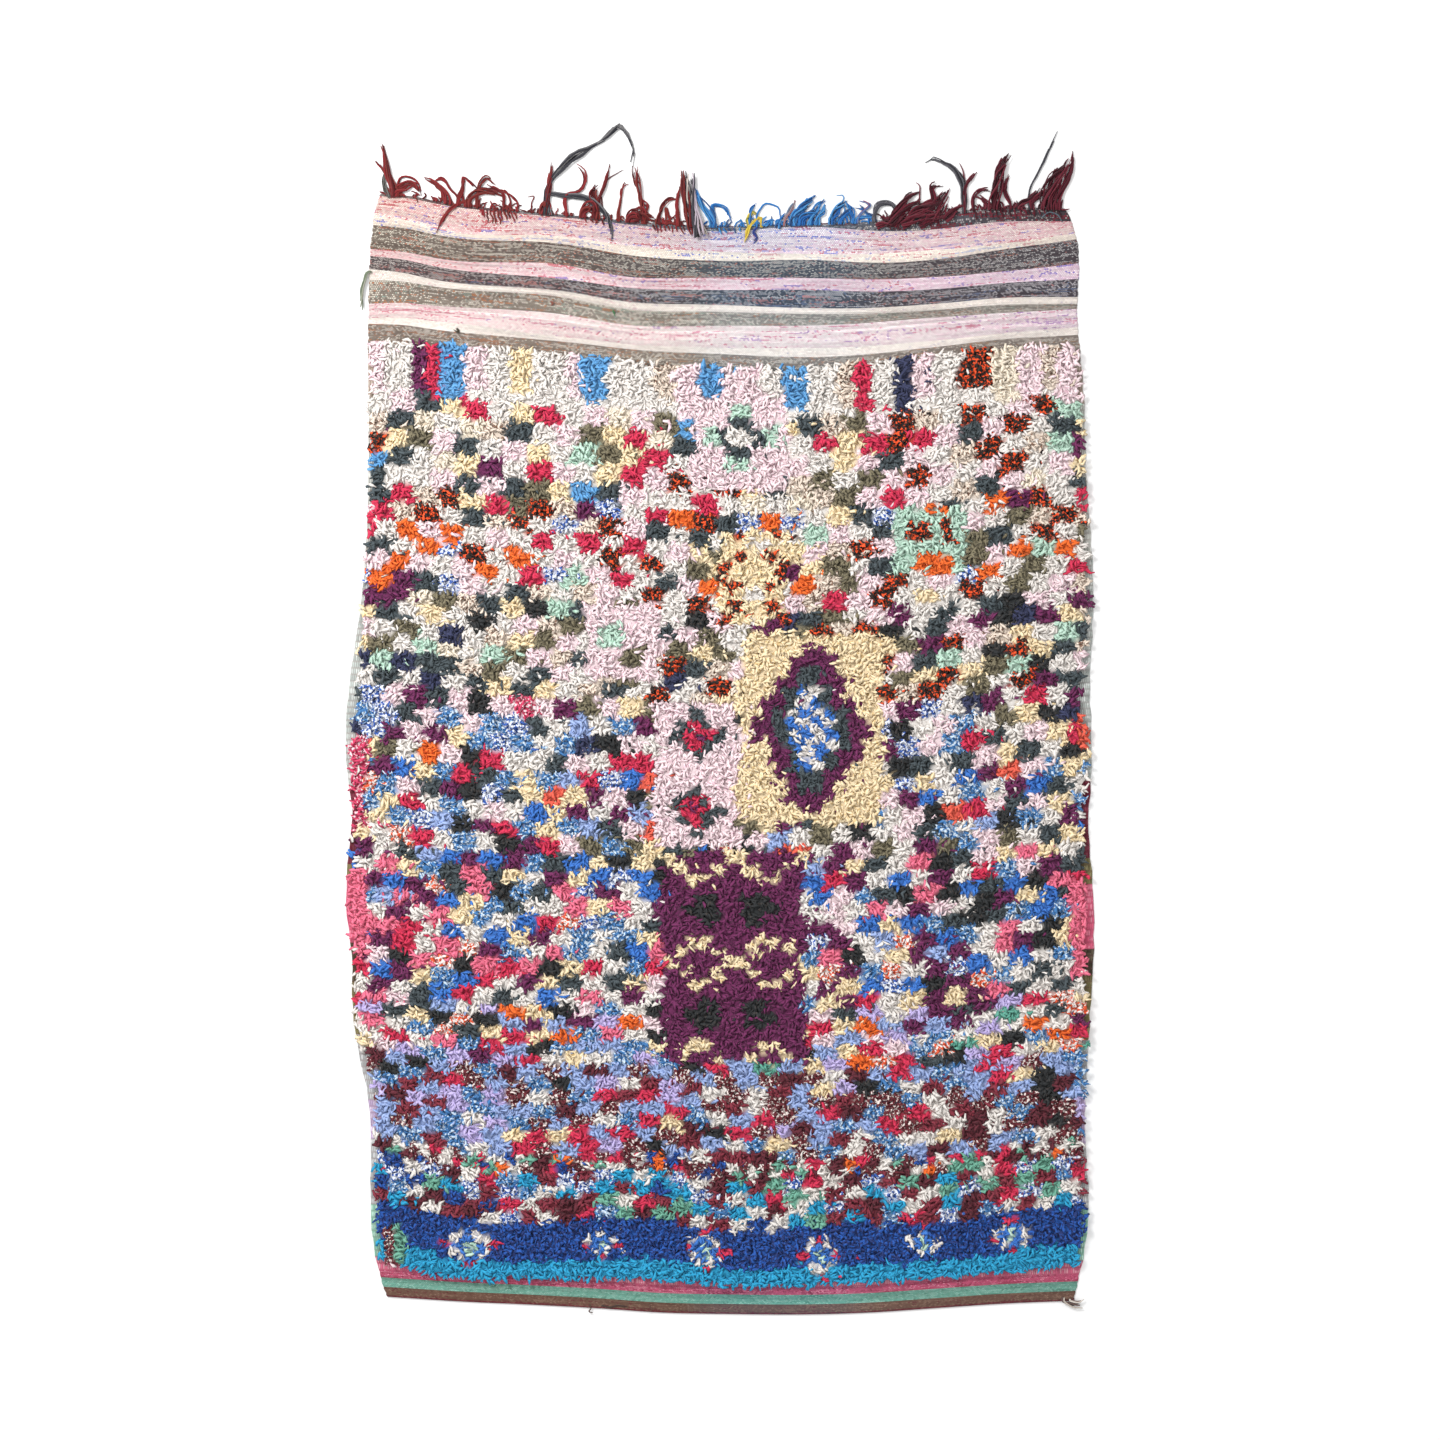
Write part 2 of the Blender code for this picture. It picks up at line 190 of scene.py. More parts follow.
# The zones of the pile, upwards from its lower rim. A check's colour is drawn from the zone's
# rags, each with its three weights, or with one where they are alike.
ZONES = (
    # from, to, check width, check height, rags
    (0, 42, 60, 42, {"turquoise": 1}),
    (42, 128, 52, 29, {"royal": 1}),
    (128, 236, 42, 26, {
        "brick": 4, "maroon": (2.5, 2.5, 2), "off_white": (3, 3, 2.5), "turquoise": (3, 3, 2.5),
        "sage": (2, 2, 3), "blue_white_print": (1.5, 1, 1.5), "blue_print": (1.5, 1.5, 1), "royal": 1,
        "raspberry": (0.5, 0.5, 0.8),
    }),
    (236, 274, 26, 19, {
        "orange": 1, "sage": (1, 2, 1), "royal": 1, "maroon": 2, "off_white": 2, "maroon_white_print": 2,
        "raspberry": 1,
    }),
    (274, 470, 48, 28, {
        "periwinkle": (5, 4, 3), "blue_print": (4, 3, 3), "maroon_white_print": (2, 3, 3),
        "off_white": (1, 1.5, 2), "raspberry": (0.5, 2, 1), "maroon": (1, 1, 2), "lavender": (1, 0.5, 1),
        "black": (0.5, 0.5, 1), "straw": (0.3, 0.3, 1), "brick": (1.5, 1.5, 1),
    }),
    (470, 600, 52, 27, {
        "lavender": (2, 2, 1.5), "blue_print": 2, "teal": (0.7, 0.5, 0.7), "raspberry": (1.5, 1, 2),
        "orange": (1.5, 1, 0.7), "coral_white_print": (1, 1.2, 1.2), "straw": (2.5, 2.5, 2),
        "off_white": (3, 3, 2.5), "black": (1.5, 1.5, 1), "plum": (0.5, 1, 2), "pale_pink": 1,
        "periwinkle": 1, "slate": (0.7, 0.7, 1), "hot_pink": (1.5, 0.3, 0.5),
    }),
    (600, 930, 47, 33, {
        "plum": (4, 5, 4), "off_white": (4, 5, 4), "straw": 3, "cobalt": (3, 1.8, 3.5),
        "slate": (2, 3, 1.5), "black": (1, 2, 2), "blue_print": (1.5, 2.5, 2), "hot_pink": (4, 1.5, 3.5),
        "coral_white_print": (1, 0.7, 0.3), "raspberry": (1, 0.7, 1.5), "pale_pink": (0.5, 1.5, 1),
        "blue_white_print": (0.5, 0.5, 0.3), "periwinkle": (0.3, 0.5, 0.6),
    }),
    (930, 1110, 46, 34, {
        "blue_print": (3, 2, 2.5), "periwinkle": (2, 0.5, 0.5), "cobalt": (3, 1, 1.5),
        "blue_white_print": (1.5, 0.5, 0.7), "straw": (3, 2.5, 3), "plum": (2, 2.5, 2.5),
        "off_white": (2.5, 4, 4), "pale_pink": (1, 3, 1.5), "black": (0.7, 1.5, 1.5),
        "khaki": (0.7, 3, 0.7), "slate": (1, 2, 2), "raspberry": (2.5, 0.5, 1.2), "coral": (1, 0.2, 0.7),
        "coral_white_print": (1, 0, 0.3),
    }),
    (1110, 1270, 47, 36, {
        "blue_print": (2.5, 0.5, 1), "blue_white_print": (1.5, 0.5, 0.5), "raspberry_print": (1.5, 0, 0),
        "straw": (1.5, 1.5, 2.5), "plum": (1.5, 1, 1.3), "off_white": (3, 5, 7), "pale_pink": (2, 4, 3.5),
        "black": (1, 1.5, 1.2), "khaki": (1, 1.5, 1), "slate": (1.5, 1.5, 1.4), "raspberry": (1, 0.5, 1),
        "periwinkle": (1.5, 0, 0.5), "orange": (0.5, 0, 0.5), "navy": (0.5, 0.5, 1),
    }),
    (1270, 1480, 50, 38, {
        "off_white": (8, 8, 7), "pale_pink": (3, 4, 3), "mint": (1.2, 1.2, 1.5), "slate": (1.7, 2.2, 1.2),
        "navy": (0.7, 0.4, 0.5), "straw": (2, 2, 2.5), "plum": (1.2, 0.8, 1.5), "khaki": (1.2, 1.6, 1),
        "black": (1.2, 1.2, 0.8), "beige_print": (2.5, 1.5, 2), "orange_print": (0.7, 2, 1.5), "cream": 1,
    }),
    (1480, 1700, 50, 40, {
        "off_white": (8, 8, 7), "pale_pink": (4, 4, 3), "orange": (4, 1.5, 1.5),
        "orange_print": (1.5, 3.5, 3), "slate": 2, "beige_print": (3, 2.5, 2.5),
        "blue_white_print": (1, 1.5, 0.5), "straw": (2, 1.5, 1.5), "mint": (0.3, 0.5, 1.5),
        "raspberry": (1.2, 0.7, 1.5), "khaki": (1, 1.5, 1), "plum": (0.7, 0.7, 1),
    }),
    (1700, 1905, 52, 40, {
        "off_white": (8, 9, 8), "straw": (3, 2.5, 3), "pale_pink": (3, 3.5, 4),
        "beige_print": (3.5, 2.5, 3.5), "mint": (1.2, 0.6, 0.8), "khaki": (1.5, 1.2, 1.5),
        "slate": (2.5, 2, 3), "raspberry": (2.5, 1.2, 1.2), "plum": (1.2, 0.7, 0.7),
        "orange_print": (1.8, 2.5, 2.8), "sky": (0.3, 0.5, 0.3), "cream": 1,
    }),
    (1905, 2060, 50, 155, {"off_white": 1}),
)

# Tall columns of one rag each along the pile's upper rim: how far across each begins, its length
# down from the rim, and its rag.
TALL_COLUMNS = (
    (-830, 105, "pale_pink"), (-735, 90, "off_white"), (-672, 110, "plum"), (-640, 115, "raspberry"),
    (-615, 120, "sky"), (-560, 95, "pale_pink"), (-510, 105, "off_white"), (-455, 100, "straw"),
    (-410, 120, "off_white"), (-330, 90, "pale_pink"), (-302, 100, "sky"), (-245, 95, "off_white"),
    (-140, 80, "beige_print"), (-95, 120, "pale_pink"), (-40, 105, "sky"), (12, 130, "pale_pink"),
    (90, 90, "off_white"), (138, 90, "sky"), (196, 100, "off_white"), (262, 100, "beige_print"),
    (300, 105, "raspberry"), (334, 110, "off_white"), (384, 125, "navy"), (424, 90, "pale_pink"),
    (470, 110, "off_white"), (530, 85, "orange_print"), (600, 115, "cream"), (660, 105, "pale_pink"),
    (712, 95, "beige_print"), (742, 115, "pale_pink"),
)

# Fields of one rag with a plain stepped motif, charted. A letter of a chart is a step of
# about two knots, and the chart repeats over its field.
FIELD_STEP = (26.0, 23.0)
TALL_LOZENGE = (
    "............",
    ".....pp.....",
    "....pppp....",
    "....pssp....",
    "...ppsspp...",
    "...pscwsp...",
    "..ppswcspp..",
    "..pswcwcsp..",
    ".ppscwcwspp.",
    ".ppswcwcspp.",
    "..pscwcwsp..",
    "..ppswcspp..",
    "...pscwsp...",
    "...ppsspp...",
    "....pssp....",
    "....pppp....",
    ".....pp.....",
    "............",
)
ZIGZAGS = (
    "y....yy....y",
    ".y..y..y..y.",
    "..yy....yy..",
    "............",
    "...kk..kk...",
    "..kkk..kkk..",
    "...kk..kk...",
    "............",
    "..yy....yy..",
    ".y..y..y..y.",
)
DIAMONDS = (
    ".......",
    "...s...",
    "..srs..",
    ".srprs.",
    "..srs..",
    "...s...",
    ".......",
)
CROSS = (
    "........",
    "...mm...",
    "...ss...",
    ".mswwsm.",
    ".mswwsm.",
    "...ss...",
    "...mm...",
    "........",
    "........",
)
SALTIRE = (
    "o....o",
    ".o..o.",
    "..ww..",
    ".o..o.",
    "o....o",
)
CHECKS = (
    "......",
    ".mm...",
    ".mm...",
    "...gg.",
    "...gg.",
    "......",
)
BARS = (
    "......",
    ".oo.o.",
    ".oo.o.",
    "......",
    "..bbb.",
    "..bbb.",
)
CHART_RAGS = {
    "s": "slate", "p": "plum", "w": "off_white", "c": "cobalt", "y": "straw", "k": "black",
    "r": "raspberry", "m": "mint", "o": "orange_print", "g": "khaki", "b": "orange",
}
FIELDS = (
    # left, right, low, high, field, chart
    (-60, 150, 506, 713, "pale_pink", CROSS),
    (2, 152, 214, 414, "straw", SALTIRE),
    (-296, -134, 92, 262, "pale_pink", CHECKS),
    (380, 540, 322, 470, "mint", BARS),
    (46, 358, -226, 190, "straw", TALL_LOZENGE),
    (-141, 41, -276, 40, "pale_pink", DIAMONDS),
    (-125, 187, -750, -290, "plum", ZIGZAGS),
)

# Blocks of one rag along the sides, at the left end of the blue bands and over the zigzags, where the
# photo has them: left, right, low, high, rag.
PATCHES = (
    (-830, -770, -520, -330, "hot_pink"),
    (770, 840, -560, -350, "hot_pink"),
    (-830, -775, -240, -30, "raspberry_print"),
    (780, 840, -60, 20, "coral"),
    (-735, -712, -1200, -1105, "maroon_white_print"),
    (-712, -690, -1200, -1105, "sage"),
    (120, 190, -292, -275, "coral"),
)

# Lozenge rosettes in the royal band: middle across, height over the pile's lower rim, width, height.
# A ring lies between two shares of that size, raspberry at its four points, and a mint upright within
# two shares of it.
ROSETTE_RING = (0.74, 1.12)
ROSETTE_POINT = 0.62
ROSETTE_HEART = (0.36, 0.14)
ROSETTES = (
    (-548, 72, 116, 84),
    (-256, 78, 78, 64),
    (-31, 74, 84, 84),
    (222, 66, 92, 90),
    (453, 80, 78, 66),
    (647, 80, 92, 78),
)

# The striped end's bands downwards from the fringed edge: how deep each ends at the nine stations
# across, the weft's colour at the left, in the middle and at the right, and the flecks' colours.
STATIONS = (-752, -559, -372, -207, 2, 178, 420, 618, 772)
BANDS = (
    # depths, wefts, flecks, share of flecks, accents, share of accents
    ((5, 6, 6, 8, 12, 6, 30, 31, 28),
     ("5A5250", "646C76", "3C3A3E"), ("A99A92", "9AA6B4", "A89C98"), 0.42,
     ("7E2A32", "D0C8C2", "7A2632"), 0.22),
    ((44, 62, 48, 55, 57, 66, 75, 77, 53),
     ("EBC2BE", "E6D2DE", "ECC4C8"), ("F7EDE1", "F4ECEC", "F6EDE3"), 0.55,
     ("C4505A", "6478CC", "C45A68"), 0.12),
    ((68, 73, 64, 75, 77, 79, 97, 90, 66),
     ("F4E8D8", "F4EBDE", "F4E9DC"), ("E4D4CA", "E6D8D0", "E2D2CC"), 0.28,
     ("5468C8", "9AA8D0", "C87080"), 0.17),
    ((121, 123, 110, 123, 114, 119, 134, 139, 119),
     ("6C685E", "464B4E", "42464A"), ("C6C0B0", "B4B2AA", "ACACAC"), 0.50,
     ("B4745C", "C08A78", "A87C78"), 0.11),
    ((136, 143, 141, 147, 141, 145, 161, 165, 154),
     ("EFC6C6", "ECCAD4", "E6CADC"), ("F7EAE4", "F4E8EC", "F4E8EE"), 0.50,
     ("CC4456", "C8607C", "6460C4"), 0.14),
    ((165, 172, 167, 178, 174, 185, 194, 198, 194),
     ("46484A", "40464C", "3E444A"), ("B4AEA8", "ACB0B4", "B0AEB2"), 0.50,
     ("B8827C", "C48A88", "6A7C98"), 0.12),
    ((189, 185, 180, 194, 189, 198, 207, 213, 209),
     ("FAF2E8", "FAF3EA", "F9F1E8"), ("EADCD0", "EEE0D8", "EADCD4"), 0.20,
     ("E0B8BE", "E0B8BE", "C8B8D0"), 0.03),
    ((242, 224, 218, 229, 220, 224, 224, 231, 220),
     ("78746A", "8A877E", "86847C"), ("CCC6B8", "D0CCC0", "CECAC0"), 0.52,
     ("B87850", "8CA094", "B88C78"), 0.10),
    ((273, 260, 268, 271, 268, 273, 275, 275, 260),
     ("F0CCCE", "F2DEDE", "EED4E0"), ("FAF3EC", "F8F3EE", "F8F0F0"), 0.55,
     ("C8446A", "D06088", "9058B4"), 0.13),
    ((286, 279, 279, 282, 282, 293, 290, 288, 277),
     ("FAF2E8", "FAF4EC", "F9F2EA"), ("EADED4", "ECE0D8", "EADCD4"), 0.20,
     ("E6D8CC", "C8C0C8", "B8B4C8"), 0.04),
    ((352, 345, 345, 350, 348, 356, 356, 352, 342),
     ("7E786E", "8A847A", "88827A"), ("D0CABE", "D4CEC2", "D0CAC0"), 0.50,
     ("B47C5C", "BE8C6C", "A88C70"), 0.10),
)

# The hem end's bands upwards from the hem: how high each ends, weft, fleck, share, accent.
HEM_BANDS = (
    (4, "6A2A33", "8C5A56", 0.30, "4A3A34"),
    (22, "6E5648", "8E7462", 0.40, "6A2E38"),
    (43, "6EAE9C", "92C4B4", 0.35, "54927F"),
    (60, "C85A7A", "E08CA2", 0.35, "9C3C54"),
)

# The ground between the two ends, which shows along the selvedges: how far along each colour
# begins, weft, fleck.
GROUND = (
    (-1290, "DE6E8C", "EBA0B0"),
    (-1185, "8FC7B0", "B5DAC8"),
    (-1070, "B9BCBC", "D2D4D4"),
    (-930, "C4AFD0", "DCCCE2"),
    (-820, "B9BCBC", "D2D4D4"),
    (-690, "7C7650", "96906A"),
    (-560, "4A4436", "6A6250"),
    (-495, "DD6484", "E88CA2"),
    (-350, "7C7650", "96906A"),
    (-300, "6A2436", "8A4252"),
    (-130, "C3CBC6", "DDE2DE"),
    (360, "C9CBC4", "DEDFD8"),
    (700, "A79B8E", "C4B8AA"),
)

# The fringe's locks of warp ends, grouped by the yarn's colour: how many yarns, and the places the
# lock runs through, each with across, along and the lock's width. The lone ones also name their colours.
LOCKS = {
    "rust": (
        (12, ((-713, 1157, 13), (-729, 1198, 12), (-744, 1273, 3))),
        (6, ((-721, 1160, 8), (-735, 1205, 8), (-760, 1237, 4))),
        (3, ((-711, 1166, 4), (-703, 1196, 4), (-680, 1197, 4), (-660, 1177, 4), (-657, 1157, 4))),
        (11, ((-714, 1163, 10), (-697, 1176, 15), (-677, 1180, 14), (-660, 1163, 8))),
        (5, ((-594, 1147, 8), (-614, 1174, 9), (-637, 1190, 9), (-657, 1199, 4))),
        (4, ((-577, 1151, 6), (-594, 1170, 6), (-615, 1195, 7), (-634, 1187, 5))),
        (5, ((-605, 1144, 9), (-615, 1167, 8), (-630, 1185, 5))),
        (6, ((-576, 1144, 9), (-568, 1172, 8), (-564, 1198, 3))),
        (4, ((-564, 1195, 4), (-544, 1177, 6), (-529, 1157, 6))),
        (5, ((-534, 1159, 7), (-527, 1186, 8), (-515, 1197, 8), (-495, 1181, 4))),
        (4, ((-477, 1157, 6), (-491, 1170, 6), (-515, 1179, 4))),
        (10, ((-553, 1147, 10), (-534, 1165, 14), (-505, 1168, 14), (-477, 1154, 8))),
        (3, ((-463, 1147, 4), (-472, 1166, 4), (-490, 1173, 3))),
        (1, ((-415, 1142, 3), (-411, 1155, 3), (-424, 1154, 2))),
        (3, ((-448, 1144, 4), (-461, 1157, 4), (-477, 1166, 3))),
        (8, ((-379, 1128, 10), (-376, 1186, 9), (-371, 1229, 4))),
        (5, ((-338, 1162, 7), (-314, 1167, 7), (-299, 1189, 8), (-305, 1214, 8), (-320, 1225, 4))),
        (8, ((-276, 1142, 10), (-283, 1166, 14), (-271, 1183, 11))),
        (5, ((-269, 1140, 8), (-255, 1177, 8), (-244, 1227, 4))),
        (1, ((-257, 1177, 3), (-240, 1198, 3), (-213, 1213, 3))),
        (4, ((-225, 1112, 6), (-219, 1151, 5), (-211, 1183, 6), (-203, 1189, 5))),
        (9, ((-167, 1108, 12), (-177, 1163, 10), (-187, 1198, 13), (-188, 1225, 5))),
        (4, ((-167, 1110, 6), (-160, 1136, 5), (-173, 1146, 4))),
        (14, ((-202, 1104, 12), (-186, 1119, 24), (-160, 1105, 12))),
        (6, ((-137, 1100, 9), (-129, 1131, 8), (-113, 1149, 8), (-94, 1148, 6))),
        (6, ((-92, 1095, 9), (-95, 1134, 8), (-90, 1177, 4))),
        (3, ((-119, 1129, 4), (-110, 1105, 4), (-95, 1119, 4))),
        (12, ((-66, 1086, 12), (-77, 1153, 13), (-84, 1215, 9))),
        (4, ((-559, 1142, 6), (-590, 1130, 7), (-610, 1104, 6), (-623, 1077, 4))),
        (8, ((-393, 1125, 9), (-385, 1141, 15), (-374, 1127, 9))),
        (11, ((-303, 1121, 10), (-286, 1133, 19), (-271, 1110, 10))),
        (8, ((-198, 1103, 14), (-169, 1110, 14), (-143, 1100, 10))),
    ),
    "blue": (
        (10, ((-15, 1096, 14), (-32, 1128, 15), (-55, 1170, 6))),
        (5, ((-14, 1099, 7), (-14, 1135, 8), (7, 1128, 8), (23, 1100, 6))),
        (4, ((66, 1107, 6), (68, 1127, 6), (80, 1142, 4))),
        (1, ((80, 1109, 3), (96, 1137, 3), (124, 1133, 3), (133, 1107, 3))),
        (4, ((129, 1083, 6), (132, 1105, 6), (142, 1120, 4))),
        (10, ((166, 1103, 13), (184, 1131, 15), (209, 1158, 6))),
        (8, ((197, 1107, 11), (214, 1132, 12), (230, 1149, 6))),
        (8, ((157, 1104, 11), (169, 1118, 12), (197, 1132, 8))),
        (6, ((214, 1105, 10), (225, 1126, 11), (229, 1141, 6))),
        (8, ((180, 1104, 12), (197, 1118, 13), (219, 1126, 8))),
        (8, ((246, 1103, 11), (257, 1126, 13), (276, 1147, 6))),
        (6, ((292, 1109, 9), (286, 1127, 11), (271, 1141, 7))),
        (1, ((270, 1141, 3), (267, 1156, 3), (255, 1160, 2))),
        (6, ((264, 1104, 10), (275, 1118, 11), (292, 1126, 6))),
        (3, ((326, 1110, 4), (315, 1126, 4), (299, 1132, 4))),
        (3, ((338, 1111, 4), (320, 1118, 5), (308, 1137, 4))),
        (4, ((298, 1103, 6), (320, 1109, 6), (345, 1105, 4))),
    ),
    "wine": (
        (10, ((368, 1086, 13), (389, 1122, 16), (413, 1154, 14), (441, 1165, 6))),
        (9, ((382, 1087, 12), (410, 1126, 15), (441, 1149, 9))),
        (9, ((410, 1088, 12), (432, 1124, 15), (459, 1143, 8))),
        (9, ((441, 1092, 12), (460, 1126, 14), (494, 1166, 5))),
        (8, ((472, 1096, 10), (486, 1132, 12), (504, 1172, 4))),
        (6, ((455, 1110, 9), (469, 1149, 9), (466, 1177, 9), (486, 1184, 5))),
        (1, ((438, 1166, 3), (438, 1180, 3), (430, 1186, 2))),
        (8, ((343, 1087, 10), (365, 1096, 13), (392, 1103, 8))),
        (5, ((536, 1141, 8), (543, 1184, 8), (568, 1213, 6))),
        (1, ((538, 1186, 3), (532, 1214, 3), (526, 1228, 2))),
        (5, ((557, 1152, 8), (573, 1172, 8), (596, 1170, 6))),
        (14, ((604, 1130, 22), (612, 1177, 20), (616, 1214, 15), (634, 1250, 10))),
        (6, ((638, 1134, 8), (625, 1166, 8), (636, 1204, 6))),
        (6, ((590, 1133, 10), (578, 1149, 9), (560, 1159, 5))),
        (5, ((656, 1130, 8), (682, 1152, 9), (701, 1174, 5))),
        (14, ((714, 1139, 20), (722, 1174, 21), (741, 1208, 17), (761, 1228, 9))),
        (8, ((741, 1146, 12), (762, 1190, 10), (775, 1228, 7), (775, 1254, 3))),
        (8, ((494, 1100, 12), (517, 1126, 13), (535, 1138, 8))),
        (9, ((398, 1090, 14), (440, 1112, 17), (486, 1124, 10))),
        (10, ((412, 1100, 14), (450, 1134, 18), (482, 1148, 10))),
        (10, ((728, 1142, 16), (740, 1180, 19), (757, 1215, 13), (771, 1238, 4))),
        (6, ((684, 1138, 10), (702, 1156, 12), (722, 1166, 8))),
        (8, ((438, 1086, 10), (472, 1107, 13), (500, 1110, 8))),
    ),
    "lone": (
        (5, ((-726, 1153, 9), (-740, 1181, 8), (-735, 1209, 4)), ("55534F", "6A6864")),
        (14, ((-41, 1067, 26), (-62, 1129, 17), (-68, 1211, 15)), ("CFC4BA", "4A474C", "B7A9B4", "3E3C44")),
        (9, ((-385, 1142, 8), (-376, 1183, 9), (-350, 1215, 12), (-324, 1239, 17), (-291, 1259, 9),
         (-269, 1272, 4), (-252, 1283, 9), (-221, 1311, 10), (-202, 1289, 6), (-190, 1256, 5),
         (-194, 1220, 4)), ("3A3A40", "706E70", "2E2E36", "8E8C8C")),
        (8, ((-376, 1159, 9), (-343, 1154, 11), (-300, 1152, 10), (-268, 1134, 13), (-247, 1110, 11),
         (-239, 1074, 6)), ("3E3E44", "6E6C70", "303038", "7E7C80")),
        (8, ((536, 1138, 9), (531, 1186, 11), (519, 1210, 11), (494, 1228, 9), (466, 1238, 8),
         (455, 1229, 4)), ("36353B", "5C5A60", "2B2A30")),
        (3, ((679, 1165, 4), (703, 1214, 4), (741, 1296, 4)), ("3E3E44", "4C4A50")),
        (6, ((338, 1111, 8), (349, 1138, 11), (377, 1141, 11), (393, 1118, 7)),
         ("55535A", "6B6A70", "3E3E46")),
        (4, ((89, 1109, 6), (68, 1096, 7), (57, 1073, 8), (50, 1049, 5)), ("D8BE4E", "C9AC3C")),
        (3, ((60, 1105, 5), (72, 1120, 5), (80, 1111, 4)), ("D8BE4E", "8C8A4A")),
        (3, ((80, 1087, 5), (73, 1075, 5), (82, 1064, 5), (72, 1054, 4)), ("2C3F86", "39407E")),
        (4, ((142, 1103, 6), (153, 1126, 8), (166, 1149, 5)), ("8C7F86", "A06A6A", "6A7A90")),
        (4, ((303, 1107, 6), (326, 1137, 6), (308, 1145, 4)), ("C8BEB4", "5A6E9C", "8C3A44")),
    ),
}

# A lock's yarns: their width and taper, how they spread, twist, wave and fray, and how much shorter
# than the lock the shortest one is. The ply turns once in a length of PLY_TWIST.
YARN_WIDTH = (3.2, 5.2)
YARN_TAPER = ((0, 0.06, 0.75, 1), (0.8, 1.0, 0.85, 0.4))
YARN_WAVE = 0.9
LOCK_SPREAD = 1.6
LOCK_FLATNESS = 0.4
LOCK_TWIST = (1.5, 5.5)
LOCK_FRAY = 2.4
THIN_LOCK = 3.0
SHORTEST_YARN = 0.78
PLY_TWIST = 4.0
YARN_STEPS = 14
YARN_SIDES = 5
FRINGE_SEED = 23

# Short loose ends between the locks: first root, last root, how many, longest.
FUZZ = {
    "rust": ((-744, -640, 16, 24), (-640, -560, 10, 20), (-556, -440, 26, 26), (-432, -396, 8, 18),
             (-376, -206, 22, 20), (-206, -54, 30, 22)),
    "blue": ((-44, 96, 22, 26), (96, 262, 34, 28), (262, 344, 14, 30)),
    "wine": ((356, 510, 34, 28), (510, 566, 8, 18), (566, 756, 34, 24)),
}

# Warp ends that lie bare on the cloth where its last wefts are worn: first root, last root, how many,
# and how far in they begin and end.
BARE_WARPS = {
    "rust": ((-530, -456, 11, 5, 36), (-150, -58, 12, 5, 24), (-300, -262, 4, 5, 18)),
    "blue": ((-6, 40, 5, 5, 22),),
    "wine": ((372, 470, 9, 6, 30), (560, 740, 18, 5, 26)),
}

YARN_COLOURS = {
    "rust": ("6E1F22", "84262A", "551619", "762A26"),
    "blue": ("2E73B4", "1F5FA6", "4A8CC4", "2F4E7C"),
    "wine": ("4E1220", "621A2A", "3C0F1A", "6A2230"),
}

# The cloth's warp, which shows between the weft's stitches: how far across each colour begins.
WARPS = (
    (-752, "B06A62"), (-560, "A8483E"), (-300, "B06C60"), (-100, "985A54"), (-60, "8C8A9C"), (0, "7C96C4"),
    (260, "8498C4"), (340, "A8848C"), (420, "A0646E"), (750, "985C66"),
)
WARP_BARE = 70

# Loose yarns that lie on their own: how many strands, width, route from the root, colours.
SELVEDGE_TAIL = (4, ((-767, 989, 4), (-774, 989, 6), (-783, 967, 8), (-787, 935, 8), (-793, 903, 4)),
                 ("6C7662", "848A76", "989A8A"))
CORNER_TAILS = (
    (3, ((754, -1266, 6), (754, -1272, 7), (764, -1279, 7), (778, -1284, 6), (794, -1284, 3)),
     ("C8BCB0", "6A5450", "3C3838")),
    (3, ((766, -1269, 6), (766, -1273, 6), (775, -1276, 6), (786, -1277, 5), (799, -1273, 3)),
     ("E0D6CC", "7A6460", "484240")),
)
THREADS = (
    (2, ((-580, 864, 4), (-575, 860, 5), (-578, 855, 4), (-584, 857, 4)), ("4A4438",)),
    (2, ((-238, 903, 4), (-234, 899, 4), (-238, 895, 4)), ("4E7A52",)),
    (2, ((-373, 924, 4), (-369, 920, 4), (-374, 916, 4)), ("8A5448",)),
    (1, ((-242, 1100, 3), (-238, 1078, 3), (-240, 1056, 3)), ("4E4E54",)),
    (1, ((706, 1108, 3), (724, 1120, 3), (742, 1112, 3), (752, 1098, 3)), ("5A6670",)),
    (1, ((-290, -1282, 3), (-284, -1290, 3), (-290, -1297, 3), (-280, -1300, 3)), ("5A4038",)),
    (1, ((-158, -1284, 3), (-152, -1291, 3), (-158, -1298, 3)), ("6A4A40",)),
    (1, ((-262, -1284, 3), (-240, -1287, 3), (-222, -1284, 3), (-204, -1288, 3)), ("4A3A34",)),
)

# The rags' looks: the scale of their prints and creases, in motifs to a metre, and the factors that
# their own tone, the painted shade down at the knot and the painted shade in the creases run between.
PRINT_SCALE = 150.0
CREASE_SCALE = 420.0
RAG_TONES = (0.94, 1.16)
KNOT_PAINTED_SHADES = (0.66, 1.0)
CREASE_PAINTED_SHADES = (0.88, 1.06)

# The looks of the cloth and the yarns: the scale of streaks along and across the weft rows, the tones
# of stitches, the painted shade in the ply's grooves, and how much darker than the weft the gaps between
# stitches are painted, as shade, where the warp does not show.
STREAK_SCALE = (11.0, 290.0, 1.0)
STITCH_TONES = (0.8, 1.15)
PLY_GROOVE_SHADES = (0.62, 1.15)
GAP_PAINTED_SHADE = 0.76

# The finish of a material, by the names of its shader's inputs.
SHADER_INPUTS = {"rough": "Roughness", "shine": "Specular IOR Level", "fuzz": "Sheen Weight"}


def linear(text, alpha=1.0):
    """An sRGB colour of six hex digits as linear red, green, blue and alpha."""
    channels = np.array([int(text[i:i + 2], 16) / 255 for i in (0, 2, 4)])
    channels = np.where(channels <= 0.04045, channels / 12.92, ((channels + 0.055) / 1.055) ** 2.4)
    return np.array([*channels, alpha])


def linears(texts):
    """Several of them, one a row."""
    return np.array([linear(text) for text in texts])


def washed(text, alpha=1.0):
    """The same for a rag, faded a little towards pale grey by washing and sun."""
    colour = linear(text, alpha)
    colour[:3] += WASHED * (linear(SUN_GREY)[:3] - colour[:3])
    return colour


